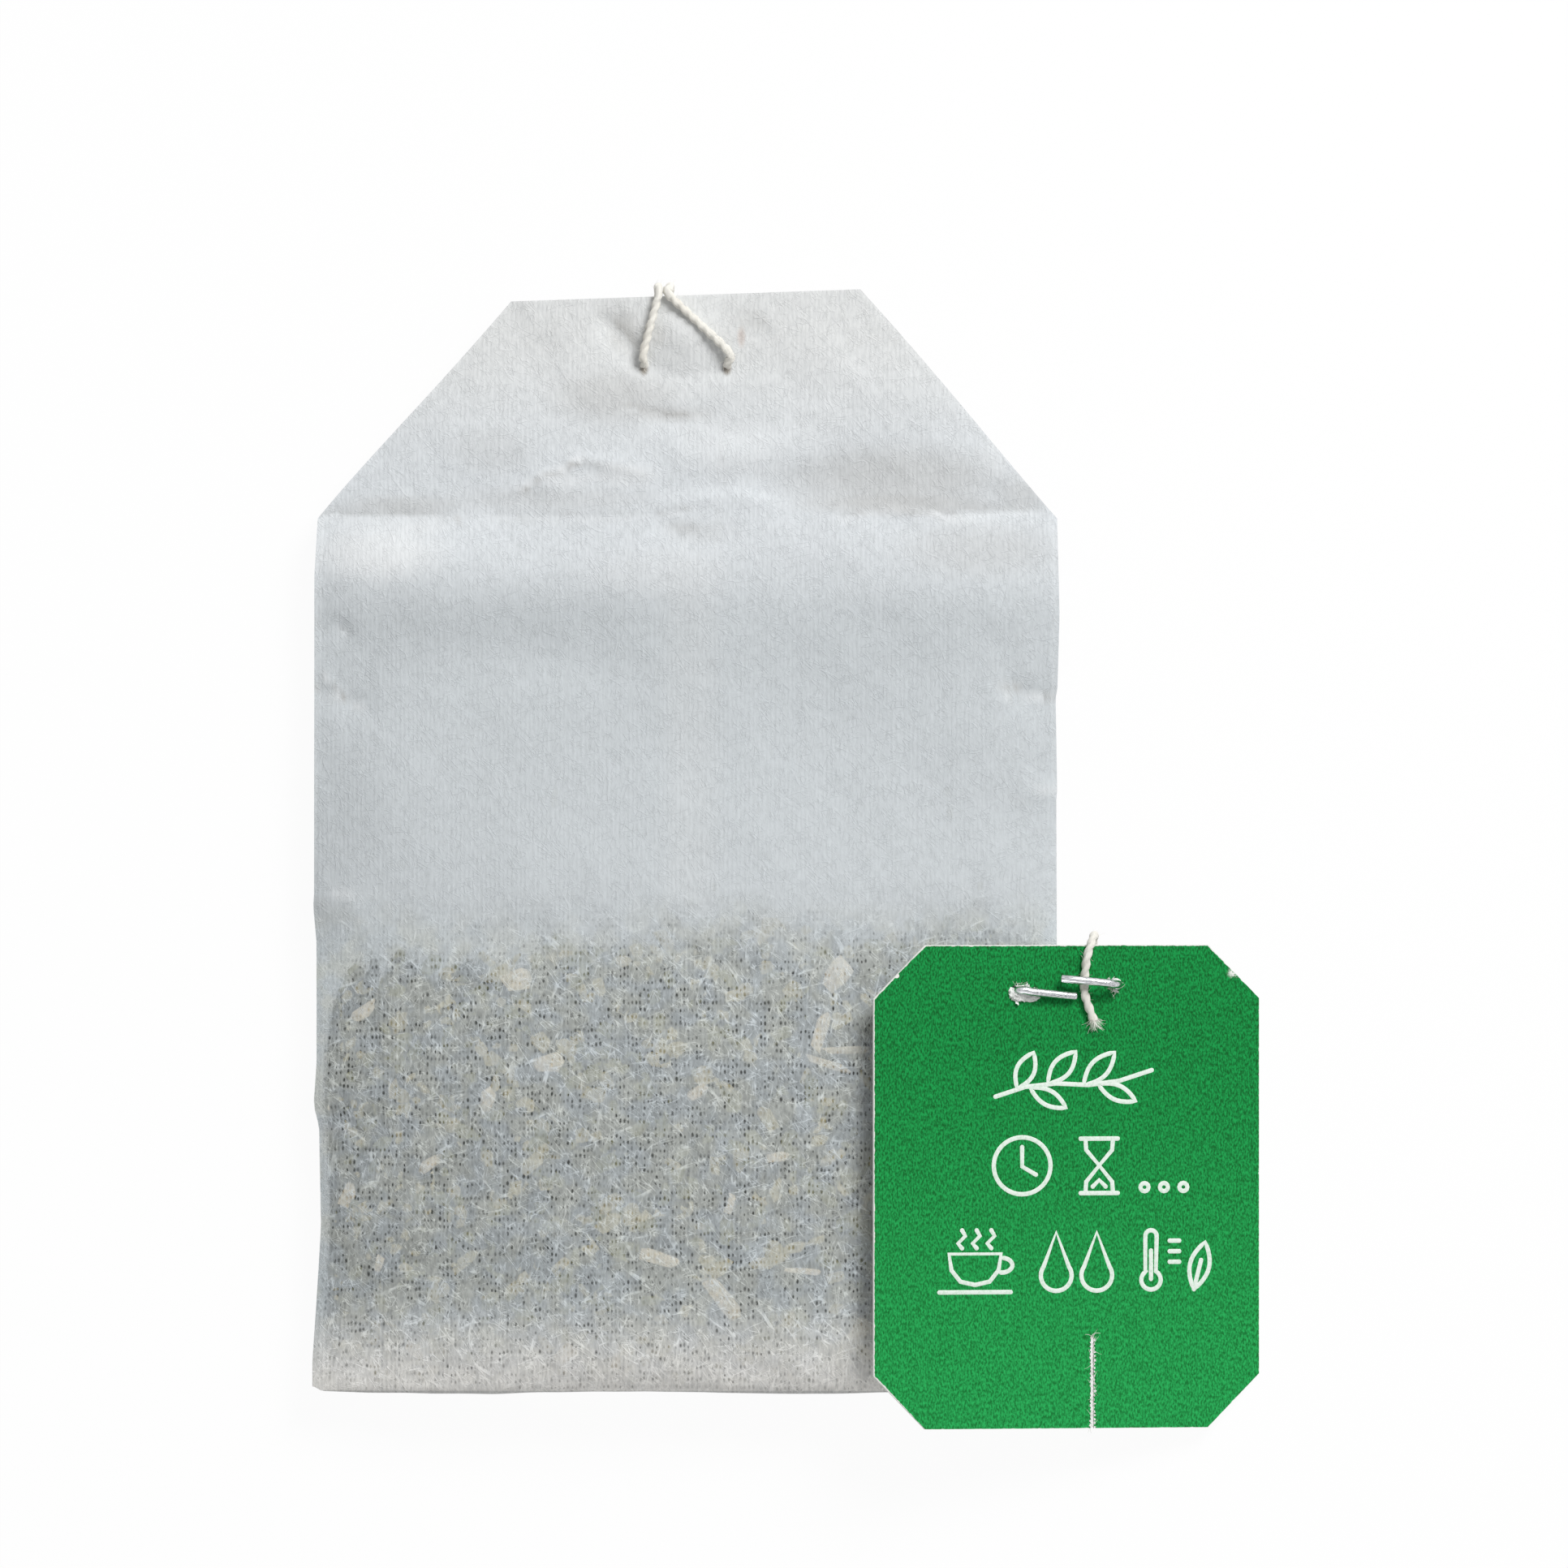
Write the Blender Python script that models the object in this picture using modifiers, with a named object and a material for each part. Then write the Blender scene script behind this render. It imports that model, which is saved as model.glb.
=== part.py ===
"""A double-chamber tea bag that lies on a flat surface, with its thread and its card tag.

The bag is one strip of filter paper, closed to a flat tube. The tube is folded in half with a
W-shaped gusset at the bottom, so that it makes a front and a rear chamber, each with its own
portion of tea. At the top the four plies are folded together: the corners go behind along two
slanted folds, and then the tip goes behind over the top fold. The thread is stitched through
two holes there. Its other end is held on the tag by a clinched staple.

Frame: +Z is up, +Y points to the folded head, +X to the tag. The origin is on the flat patch
under the bag, where it rests.
"""

import math

import bmesh
import bpy
from mathutils import Vector

# Bag outline, seen from above
BAG_WIDTH = 0.0500
BOTTOM_Y = -0.0151
SHOULDER_Y = 0.0437
TOP_FOLD_Y = 0.0587
TOP_FOLD_WIDTH = 0.47 * BAG_WIDTH
FLAP_HEIGHT = 0.0083
TOP_FOLD_LEAN = 0.035

# Filter paper and the way its plies stack
PLY = 0.00006
PLY_GAP = 0.00006
PITCH = PLY + PLY_GAP
FOLDED_LEVELS = 16
CORNER_STEP_X = 2.1 * PITCH
CORNER_STEP_Y = 1.0 * PITCH
CORNER_SPREAD = 0.012
FOLD_START = 0.0003

# Chambers
JOIN_Z = 0.00305
EDGE_RISE = 0.0008
EDGE_DROOP = 0.0012
FRONT_SWELL = 0.0022
REAR_SWELL = 0.0024
INNER_SWELL = 0.0008
BOTTOM_ROUNDING = 0.0070
SWELL_FULL_Y = 0.0040
SWELL_END_Y = 0.0300
GUSSET_RISE = 0.0082
GUSSET_EASE = 0.0030

# Tea portions
TEA_TOP_Y = 0.0160
TEA_SIDE_MARGIN = 0.0032
TEA_BOTTOM_MARGIN = 0.0028
TEA_CLEARANCE = 0.0003

# Thread and its two stitch holes
THREAD_DIAMETER = 0.00055
THREAD_ROOM = 0.00030
THREAD_LIFT = 0.00005
THREAD_CLEARANCE = 0.00017
THREAD_BEND = 0.0011
STITCH_Y = 0.0539
STITCH_SPACING = 0.0056
STITCH_HOLE_DIAMETER = 0.0016

# Tag and staple
TAG_WIDTH = 0.0270
TAG_HEIGHT = 0.0325
TAG_THICKNESS = 0.00026
TAG_CHAMFER = 0.0036
TAG_OVERHANG = 0.0136
TAG_TOP_Y = 0.0150
TAG_SEAT_GAP = 0.0002
SLIT_LENGTH = 0.0061
SLIT_WIDTH = 0.00022
SLIT_X = 0.0018
WIRE_DIAMETER = 0.00055
WIRE_GAP = 0.00008
STAPLE_SPAN = 0.0071
STAPLE_Y = 0.0134
STAPLE_LEAN = 0.0004
STAPLE_LEG = 0.0041

# How finely the paper's mesh is divided
HEAD_ROWS = 2
CHAMBER_ROWS = 13
EDGE_ROW_SHARES = (0.25, 0.08)
PLY_COLUMNS = 15
CORNER_COLUMNS = 4

HALF_WIDTH = BAG_WIDTH / 2
TAG_RIGHT_X = HALF_WIDTH + TAG_OVERHANG
HEAD_LOW_Z = THREAD_DIAMETER + THREAD_ROOM + PLY / 2
HEAD_TOP_Z = HEAD_LOW_Z + (FOLDED_LEVELS - 1) * PITCH
MOUTH_S = TOP_FOLD_Y + FLAP_HEIGHT
CORNER_RUN = Vector((HALF_WIDTH - TOP_FOLD_WIDTH / 2, SHOULDER_Y - TOP_FOLD_Y))
CORNER_SLOPE = -CORNER_RUN.x / CORNER_RUN.y
THREAD_LOW_Z = THREAD_DIAMETER / 2 + THREAD_LIFT
THREAD_TOP_Z = HEAD_TOP_Z + PLY / 2 + THREAD_DIAMETER / 2 + THREAD_CLEARANCE


def clear_scene():
    """Removes what a new file holds."""
    for thing in list(bpy.data.objects):
        bpy.data.objects.remove(thing, do_unlink=True)


def collection(name):
    """A collection of the scene."""
    made = bpy.data.collections.new(name)
    bpy.context.scene.collection.children.link(made)
    return made


def material(name, colour, roughness, metallic=0.0):
    """A plain Principled material."""
    made = bpy.data.materials.new(name)
    made.use_nodes = True
    shader = made.node_tree.nodes["Principled BSDF"]
    shader.inputs["Base Color"].default_value = (*colour, 1.0)
    shader.inputs["Roughness"].default_value = roughness
    shader.inputs["Metallic"].default_value = metallic
    return made


def link_mesh(name, mesh_data, holder, look=None):
    """An object for a bmesh, which this frees."""
    mesh = bpy.data.meshes.new(name)
    mesh_data.to_mesh(mesh)
    mesh_data.free()
    made = bpy.data.objects.new(name, mesh)
    holder.objects.link(made)
    if look:
        mesh.materials.append(look)
    return made


def cut(target, cutter):
    """Cuts one object out of another."""
    cutter.hide_render = True
    cutter.display_type = "WIRE"
    boolean = target.modifiers.new(cutter.name, "BOOLEAN")
    boolean.operation = "DIFFERENCE"
    boolean.solver = "EXACT"
    boolean.object = cutter


def round_cutter(name, diameter, length, place, holder):
    """A round cutter along Z."""
    shape = bmesh.new()
    bmesh.ops.create_cone(
        shape, cap_ends=True, segments=16, radius1=diameter / 2, radius2=diameter / 2, depth=length
    )
    made = link_mesh(name, shape, holder)
    made.location = place
    return made


def smooth(low, high, value):
    """0 at low, 1 at high, with a soft start and end."""
    share = min(max((value - low) / (high - low), 0.0), 1.0)
    return share * share * (3.0 - 2.0 * share)


def mix(first, second, share):
    """The value that lies a share of the way from first to second."""
    return first + (second - first) * share


def pressed(y):
    """How far the chambers have closed to the flat head: 0 over the tea, 1 at the shoulder."""
    return smooth(TEA_TOP_Y, SHOULDER_Y - BOTTOM_ROUNDING, y)


def join_z(x, y):
    """The surface between the two chambers, which droops at both sides."""
    over_tea = JOIN_Z - EDGE_DROOP * (x / HALF_WIDTH) ** 4
    return mix(over_tea, HEAD_TOP_Z - 1.5 * PITCH, pressed(y))


def swell(x, y):
    """The share of its full height that a chamber has here."""
    across = max(1.0 - (x / HALF_WIDTH) ** 2, 0.0) ** 0.75
    start = min(max((y - BOTTOM_Y) / BOTTOM_ROUNDING, 0.0), 1.0)
    rounded = math.sqrt(1.0 - (1.0 - start) ** 2)
    return across * rounded * (1.0 - smooth(SWELL_FULL_Y, SWELL_END_Y, y))


def edge_rise(y):
    """The height of a chamber's side edge over the surface between the chambers."""
    return mix(EDGE_RISE, PITCH, pressed(y))


def gusset_z(y):
    """The height of the gusset's inner ply over the surface between the chambers."""
    along = min(max((y - BOTTOM_Y) / GUSSET_RISE, 0.0), 1.0)
    return mix(EDGE_RISE - 1.5 * PITCH, 1.5 * PITCH, along)


def inner_rise(x, y):
    """The height of a chamber's inner ply over the surface between the chambers."""
    gusset_top = BOTTOM_Y + GUSSET_RISE
    flat = PITCH / 2 + 2.0 * PITCH * (1.0 - smooth(gusset_top, gusset_top + GUSSET_EASE, y))
    floor = gusset_z(y) + PITCH if y < gusset_top else flat
    return max(edge_rise(y) - PITCH / 2 - INNER_SWELL * swell(x, y), floor)


def ply_z(ply, x, y):
    """The middle of a ply: 0 front outer, 1 front inner, 2 rear inner, 3 rear outer."""
    outer = edge_rise(y) + PITCH / 2
    if ply == 0:
        return join_z(x, y) + outer + FRONT_SWELL * swell(x, y)
    if ply == 1:
        return join_z(x, y) + inner_rise(x, y)
    if ply == 2:
        return join_z(x, y) - inner_rise(x, y)
    return max(join_z(x, y) - outer - REAR_SWELL * swell(x, y), PLY / 2)


def level_z(level):
    """The middle of a layer of the folded head, counted down from the front."""
    return HEAD_TOP_Z - level * PITCH


def ear_level(ply):
    """The layer of a ply's corner, folded behind."""
    return FOLDED_LEVELS // 2 - 1 - ply


def flap_ear_level(ply):
    """The layer of a ply's corner inside the flap."""
    return FOLDED_LEVELS // 2 + ply


def flap_level(ply):
    """The layer of a ply in the flap."""
    return FOLDED_LEVELS - 1 - ply


def lean(x, y):
    """Puts the top fold at its slight slope."""
    return y + TOP_FOLD_LEAN * x * smooth(SHOULDER_Y, TOP_FOLD_Y, y)


def fold_x(ply, s):
    """Half the width that stays in front at s, up to the slanted corner fold."""
    start_x = HALF_WIDTH - ply * CORNER_STEP_X
    start_s = SHOULDER_Y + ply * CORNER_STEP_Y
    return start_x - (CORNER_SLOPE + ply * CORNER_SPREAD) * (s - start_s)


def behind_corner(ply, s, run):
    """Where a point lies that is run past the corner fold, once it is folded behind."""
    along = CORNER_RUN.normalized()
    folded = 2.0 * along.x * along - Vector((1.0, 0.0))
    return fold_x(ply, s) + folded.x * run, s + folded.y * run


def side_x(ply, y):
    """Half the width of a ply below the shoulder."""
    return HALF_WIDTH - ply * CORNER_STEP_X * pressed(y)


def spread(half, count):
    """Places from -half to half, closer together at the ends."""
    return [half * math.sin(math.pi / 2 * (2 * i / (count - 1) - 1)) for i in range(count)]


def both_sides(corner, middle):
    """One ply's row from left to right. corner runs from its free end to the corner fold."""
    left = [(-x, y, z) for x, y, z in corner]
    right = [(x, y, z) for x, y, z in reversed(corner)]
    return [(x, lean(x, y), z) for x, y, z in left + middle + right]


def chamber_row(ply, y):
    """A ply's row below the shoulder."""
    half = side_x(ply, y)
    middle = [(x, y, ply_z(ply, x, y)) for x in spread(half, PLY_COLUMNS)]
    return both_sides([(half, y, ply_z(ply, half, y))] * CORNER_COLUMNS, middle)


def shoulder_row(ply):
    """A ply's row through the points where its corner folds start."""
    half = fold_x(ply, SHOULDER_Y + ply * CORNER_STEP_Y)
    y = SHOULDER_Y + ply * CORNER_STEP_Y
    middle = [(x, y, level_z(ply)) for x in spread(half, PLY_COLUMNS)]
    return both_sides([(half, y, level_z(ply))] * CORNER_COLUMNS, middle)


def head_row(ply, s):
    """A ply's row between the shoulder and the top fold."""
    half = fold_x(ply, s)
    behind = level_z(ear_level(ply))
    lower = min(s, TOP_FOLD_Y - ear_level(ply) * PITCH)
    fold = (fold_x(ply, lower), lower, behind)
    end_run = HALF_WIDTH - ply * CORNER_STEP_X - half
    end = (*behind_corner(ply, s, end_run), behind)
    middle = [(x, s, level_z(ply)) for x in spread(half, PLY_COLUMNS)]
    return both_sides([end, fold, fold, fold], middle)


def flap_row(ply, s):
    """A ply's row in the flap, which is folded behind over the top fold."""
    turn = TOP_FOLD_Y - ply * PITCH
    corner_turn = TOP_FOLD_Y - ear_level(ply) * PITCH
    ear, flap_ear = level_z(ear_level(ply)), level_z(flap_ear_level(ply))
    half = fold_x(ply, s)
    down = 2.0 * turn - s
    end_run = HALF_WIDTH - ply * CORNER_STEP_X - half
    end = (*behind_corner(ply, s, end_run), ear)
    reach = behind_corner(ply, s, 1.0)
    crossing = behind_corner(ply, s, (s - corner_turn) / (s - reach[1]))
    if s <= turn:
        crossing = (fold_x(ply, corner_turn), corner_turn)
        start = crossing
    else:
        start = (half, 2.0 * corner_turn - s)
    corner = [end, (*crossing, ear), (*crossing, flap_ear), (*start, flap_ear)]
    middle = [(x, down, level_z(flap_level(ply))) for x in spread(half, PLY_COLUMNS)]
    return both_sides(corner, middle)


def gusset_row(ply, at_top):
    """A ply's row at the bottom or the top of its gusset leg."""
    outer = ply in (0, 3)
    side = 1.0 if ply < 2 else -1.0
    if at_top:
        y = BOTTOM_Y + GUSSET_RISE - (PITCH if outer else 0.0)
        rise = (0.5 if outer else 1.5) * PITCH
    else:
        y = BOTTOM_Y + (0.0 if outer else PITCH)
        rise = EDGE_RISE - (2.5 if outer else 1.5) * PITCH
    middle = [(x, y, join_z(x, y) + side * rise) for x in spread(HALF_WIDTH, PLY_COLUMNS)]
    return both_sides([middle[-1]] * CORNER_COLUMNS, middle)


def half_rows(outer, inner):
    """The rows of half the tube, from its mouth to the gusset's top. Each holds two plies."""
    rows = []
    for s in (MOUTH_S, mix(MOUTH_S, TOP_FOLD_Y, 0.5)):
        rows.append([flap_row(ply, s) for ply in (outer, inner)])
    rows.append([flap_row(ply, TOP_FOLD_Y - ply * PITCH) for ply in (outer, inner)])
    rows.append([head_row(ply, TOP_FOLD_Y - ply * PITCH) for ply in (outer, inner)])
    for row in range(HEAD_ROWS, 0, -1):
        s = mix(SHOULDER_Y, TOP_FOLD_Y, row / (HEAD_ROWS + 1))
        rows.append([head_row(ply, s) for ply in (outer, inner)])
    rows.append([head_row(ply, SHOULDER_Y + ply * CORNER_STEP_Y + FOLD_START) for ply in (outer, inner)])
    rows.append([shoulder_row(ply) for ply in (outer, inner)])
    heights = [mix(SHOULDER_Y, BOTTOM_Y, row / (CHAMBER_ROWS + 1)) for row in range(1, CHAMBER_ROWS + 1)]
    for y in heights + [BOTTOM_Y + share * BOTTOM_ROUNDING for share in EDGE_ROW_SHARES]:
        rows.append([chamber_row(ply, y) for ply in (outer, inner)])
    rows.append([chamber_row(outer, BOTTOM_Y), chamber_row(inner, BOTTOM_Y + PITCH)])
    for at_top in (False, True):
        rows.append([gusset_row(ply, at_top) for ply in (outer, inner)])
    return rows


def filter_paper(parts, cutters, look):
    """The folded tube of paper: a grid wrapped to a ring and laid along the folds."""
    rows = half_rows(0, 1) + half_rows(3, 2)[::-1]
    rings = [outer + inner[::-1] + outer[:1] for outer, inner in rows]
    shape = bmesh.new()
    bmesh.ops.create_grid(shape, x_segments=len(rings[0]) - 1, y_segments=len(rings) - 1, size=1.0)
    for vertex, place in zip(shape.verts, [point for ring in rings for point in ring]):
        vertex.co = place
    bmesh.ops.remove_doubles(shape, verts=shape.verts, dist=PLY / 20)
    bmesh.ops.dissolve_degenerate(shape, edges=shape.edges, dist=PLY / 20)
    bmesh.ops.recalc_face_normals(shape, faces=shape.faces)
    paper = link_mesh("filter_paper", shape, parts, look)
    wall = paper.modifiers.new("ply", "SOLIDIFY")
    wall.thickness = PLY
    wall.offset = 0.0
    wall.use_even_offset = False
    for side in (-1, 1):
        place = (side * STITCH_SPACING / 2, STITCH_Y, HEAD_TOP_Z / 2)
        name = "stitch_hole_" + ("left" if side < 0 else "right")
        cut(paper, round_cutter(name, STITCH_HOLE_DIAMETER, 3 * HEAD_TOP_Z, place, cutters))
    return paper


def tea_half_width(share):
    """Half the width of a tea portion, rounded at its bottom and top."""
    full = HALF_WIDTH - TEA_SIDE_MARGIN
    return full * (1.0 - 0.16 * abs(2.0 * share - 1.0) ** 5)


def tea_fill(name, outer, inner, parts, look):
    """A portion of tea as a closed solid that fits its chamber."""
    columns, rows = 14, 12
    shape = bmesh.new()
    bmesh.ops.create_grid(shape, x_segments=columns, y_segments=rows, size=1.0)
    flat = list(shape.faces)
    lifted = bmesh.ops.extrude_face_region(shape, geom=flat)["geom"]
    upper = {item for item in lifted if isinstance(item, bmesh.types.BMVert)}
    above, below = min(outer, inner), max(outer, inner)
    room = TEA_CLEARANCE + PLY / 2
    for vertex in shape.verts:
        share = (vertex.co.y + 1.0) / 2.0
        x = math.sin(vertex.co.x * math.pi / 2) * tea_half_width(share)
        y = mix(BOTTOM_Y + TEA_BOTTOM_MARGIN, TEA_TOP_Y, share)
        z = ply_z(above, x, y) - room if vertex in upper else ply_z(below, x, y) + room
        vertex.co = (x, y, z)
    bmesh.ops.recalc_face_normals(shape, faces=shape.faces)
    return link_mesh(name, shape, parts, look)


def tag_slope():
    """The slope at which the tag lies: its right edge on the ground, its underside on the bag."""
    steepest = 0.0
    steps = 40
    crown_x = TAG_RIGHT_X - (TAG_WIDTH + STAPLE_SPAN) / 2
    crown_y = TAG_TOP_Y - TAG_HEIGHT / 2 + STAPLE_Y
    for i in range(steps + 1):
        x = mix(TAG_RIGHT_X - TAG_WIDTH, HALF_WIDTH, i / steps)
        for j in range(steps + 1):
            y = mix(BOTTOM_Y, TAG_TOP_Y, j / steps)
            needed = ply_z(0, x, y) + PLY / 2 + TAG_SEAT_GAP
            if x > crown_x - WIRE_DIAMETER and abs(y - crown_y) < 2 * WIRE_DIAMETER:
                needed += WIRE_GAP + WIRE_DIAMETER
            steepest = max(steepest, needed / (TAG_RIGHT_X - x))
    return steepest


def card_tag(parts, cutters, look):
    """The card tag with cut corners, a slit and two holes for the staple."""
    angle = math.atan(tag_slope())
    shape = bmesh.new()
    bmesh.ops.create_cube(shape, size=1.0)
    bmesh.ops.scale(shape, vec=(TAG_WIDTH, TAG_HEIGHT, TAG_THICKNESS), verts=shape.verts)
    heights = {edge: abs(edge.verts[0].co.z - edge.verts[1].co.z) for edge in shape.edges}
    upright = [edge for edge, height in heights.items() if height > TAG_THICKNESS / 2]
    bmesh.ops.bevel(
        shape, geom=upright, offset=TAG_CHAMFER, offset_type="OFFSET", segments=1, profile=0.5, affect="EDGES"
    )
    tag = link_mesh("tag", shape, parts, look)
    lift = TAG_WIDTH / 2 * math.sin(angle) + TAG_THICKNESS / 2 * math.cos(angle)
    centre_x = TAG_RIGHT_X - TAG_WIDTH / 2 * math.cos(angle)
    tag.location = (centre_x, TAG_TOP_Y - TAG_HEIGHT / 2, lift)
    tag.rotation_euler = (0.0, angle, 0.0)
    slit = bmesh.new()
    bmesh.ops.create_cube(slit, size=1.0)
    bmesh.ops.scale(slit, vec=(SLIT_WIDTH, 2 * SLIT_LENGTH, 4 * TAG_THICKNESS), verts=slit.verts)
    slit_cutter = link_mesh("tag_slit", slit, cutters)
    slit_cutter.location = (SLIT_X, -TAG_HEIGHT / 2, 0.0)
    slit_cutter.parent = tag
    cut(tag, slit_cutter)
    for side in (-1, 1):
        place = (side * STAPLE_SPAN / 2, STAPLE_Y + side * STAPLE_LEAN / 2, 0.0)
        name = "staple_hole_" + ("left" if side < 0 else "right")
        hole = round_cutter(name, WIRE_DIAMETER + 2 * WIRE_GAP, 4 * TAG_THICKNESS, place, cutters)
        hole.parent = tag
        cut(tag, hole)
    return tag


def tube(name, points, diameter, holder, look):
    """A round wire or cord through points."""
    curve = bpy.data.curves.new(name, "CURVE")
    curve.dimensions = "3D"
    curve.bevel_depth = diameter / 2
    curve.bevel_resolution = 2
    curve.use_fill_caps = True
    curve.materials.append(look)
    line = curve.splines.new("POLY")
    line.points.add(len(points) - 1)
    for node, point in zip(line.points, points):
        node.co = (*point, 1.0)
    made = bpy.data.objects.new(name, curve)
    holder.objects.link(made)
    return made


def tag_staple(tag, parts, look):
    """The wire staple: its crown lies behind the tag, and its legs are clinched in front."""
    half = STAPLE_SPAN / 2
    face = TAG_THICKNESS / 2
    low = face + WIRE_GAP + WIRE_DIAMETER / 2
    over_thread = low + THREAD_DIAMETER + WIRE_GAP
    left_y = STAPLE_Y - STAPLE_LEAN / 2
    right_y = STAPLE_Y + STAPLE_LEAN / 2
    bend = WIRE_DIAMETER
    left_leg = [
        (-half + STAPLE_LEG, left_y - STAPLE_LEAN, low),
        (-half + 2 * bend, left_y - STAPLE_LEAN / 4, low + bend / 3),
        (-half + bend, left_y, low + bend / 4),
        (-half + bend / 4, left_y, low),
        (-half, left_y, face),
    ]
    right_leg = [
        (half - STAPLE_LEG, right_y + STAPLE_LEAN, low + bend / 2),
        (half - STAPLE_LEG * 0.75, right_y + STAPLE_LEAN * 0.75, over_thread),
        (half - 2 * bend, right_y + STAPLE_LEAN / 4, over_thread + bend / 4),
        (half - bend, right_y, over_thread),
        (half - bend / 4, right_y, low + bend / 2),
        (half, right_y, face),
    ]
    crown = [
        (-half, left_y, -face),
        (-half + bend / 4, left_y, -low * 0.8),
        (-half + bend, left_y, -low),
        (half - bend, right_y, -low),
        (half - bend / 4, right_y, -low * 0.8),
        (half, right_y, -face),
    ]
    wire = tube("tag_staple", left_leg + crown + right_leg[::-1], WIRE_DIAMETER, parts, look)
    wire.parent = tag
    return wire


# The thread's route: on the tag and over its top edge, and then on the ground behind the bag
TAG_RUN = (
    (0.02745, 0.00990, 0.00372),
    (0.02685, 0.01170, 0.00389),
    (0.02685, 0.01285, 0.00389),
    (0.02700, 0.01420, 0.00398),
    (0.02735, 0.01531, 0.00366),
    (0.02750, 0.01563, 0.00290),
    (0.02745, 0.01531, 0.00214),
    (0.02725, 0.01430, 0.00160),
    (0.02670, 0.01300, 0.00100),
    (0.02620, 0.01190, 0.00060),
)
GROUND_RUN = (
    (0.02565, 0.01100, 0.00036),
    (0.02480, 0.01060, 0.00033),
    (0.02390, 0.01100, 0.00033),
    (0.02340, 0.01210, 0.00033),
    (0.02310, 0.01600, 0.00033),
    (0.01900, 0.02450, 0.00033),
    (0.01000, 0.02880, 0.00033),
    (-0.00300, 0.02960, 0.00033),
    (-0.01150, 0.03180, 0.00033),
    (-0.01310, 0.03600, 0.00033),
    (-0.00850, 0.03950, 0.00033),
    (0.00450, 0.04080, 0.00033),
    (0.00850, 0.04420, 0.00033),
    (0.00500, 0.04780, 0.00033),
    (-0.00500, 0.04900, 0.00033),
    (-0.00810, 0.05120, 0.00033),
    (-0.00720, 0.05450, 0.00033),
    (-0.00350, 0.05540, 0.00033),
    (-0.00205, 0.05690, 0.00033),
)
THREAD_END = (
    (-0.00070, 0.05690, 0.00033),
    (0.00090, 0.05570, 0.00033),
    (0.00420, 0.05600, 0.00033),
    (0.00720, 0.05340, 0.00033),
)
LEFT_LEG_X = -0.00185
RIGHT_LEG_X = -0.00105
FOLD_ROUND = ((0.0, 0.0), (0.00050, 0.14), (0.00065, 0.5), (0.00050, 0.86), (-0.00010, 1.0))
THREAD_STEP = 0.0029
TIGHT_STEP = 0.0009


def over_top_fold(x):
    """The thread's points over the top fold, from the front to the ground behind."""
    edge = lean(x, TOP_FOLD_Y)
    return [(x, edge + reach, mix(THREAD_TOP_Z, THREAD_LOW_Z, drop)) for reach, drop in FOLD_ROUND]


def through_hole(side):
    """The thread's points from the front, down through a stitch hole, to behind the head."""
    x = side * STITCH_SPACING / 2
    rise = THREAD_BEND * (1.0 - math.sqrt(0.5))
    return [
        (x, STITCH_Y + THREAD_BEND, THREAD_TOP_Z),
        (x, STITCH_Y + rise, THREAD_TOP_Z - rise),
        (x, STITCH_Y, THREAD_TOP_Z - THREAD_BEND),
        (x, STITCH_Y, THREAD_LOW_Z + THREAD_BEND),
        (x - side * rise, STITCH_Y, THREAD_LOW_Z + rise),
        (x - side * THREAD_BEND, STITCH_Y, THREAD_LOW_Z),
    ]


def thread_route():
    """The whole route, from the cut end on the tag to the end behind the head."""
    up = over_top_fold(LEFT_LEG_X)[::-1]
    down = over_top_fold(RIGHT_LEG_X)
    stitch = through_hole(-1) + through_hole(1)[::-1]
    return [*TAG_RUN, *GROUND_RUN, *up, *stitch, *down, *THREAD_END]


def curve_point(route, index, share):
    """A point of the smooth curve through the route, a share of the way past its point index."""
    last = len(route) - 1
    around = [Vector(route[min(max(index + step, 0), last)]) for step in (-1, 0, 1, 2)]
    before, start, end, after = around
    into = (end - before) / 2.0
    out = (after - start) / 2.0
    square, cube = share * share, share * share * share
    return (
        start * (2 * cube - 3 * square + 1)
        + into * (cube - 2 * square + share)
        + end * (3 * square - 2 * cube)
        + out * (cube - square)
    )


def smooth_route(route):
    """The thread's centreline: closer points where the route turns up or down."""
    points = []
    for index in range(len(route) - 1):
        start, end = Vector(route[index]), Vector(route[index + 1])
        climbs = abs(end.z - start.z) > THREAD_DIAMETER / 4
        step = TIGHT_STEP if climbs else THREAD_STEP
        parts = max(round((end - start).length / step), 1)
        points += [curve_point(route, index, part / parts) for part in range(parts)]
    return points + [Vector(route[-1])]


def shade(made, angle):
    """Smooth shading up to an angle."""
    for item in made:
        if item.type == "MESH":
            item.data.shade_smooth()
            item.data.set_sharp_from_angle(angle=angle)


def build():
    """Makes the whole part."""
    clear_scene()
    parts = collection("tea_bag")
    cutters = collection("cutters")
    paper_look = material("filter_paper", (0.80, 0.82, 0.81), 0.85)
    tea_look = material("tea", (0.060, 0.035, 0.018), 0.90)
    card_look = material("green_card", (0.016, 0.260, 0.061), 0.55)
    wire_look = material("aluminium_wire", (0.78, 0.79, 0.80), 0.30, 1.0)
    thread_look = material("cotton_thread", (0.82, 0.79, 0.70), 0.90)
    paper = filter_paper(parts, cutters, paper_look)
    front = tea_fill("tea_fill_front", 0, 1, parts, tea_look)
    rear = tea_fill("tea_fill_rear", 3, 2, parts, tea_look)
    tag = card_tag(parts, cutters, card_look)
    tag_staple(tag, parts, wire_look)
    tube("thread", smooth_route(thread_route()), THREAD_DIAMETER, parts, thread_look)
    shade([paper, front, rear], math.radians(35))


build()
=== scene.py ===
import math
import random

import bmesh
import bpy
from mathutils import Matrix, Vector, noise


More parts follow.
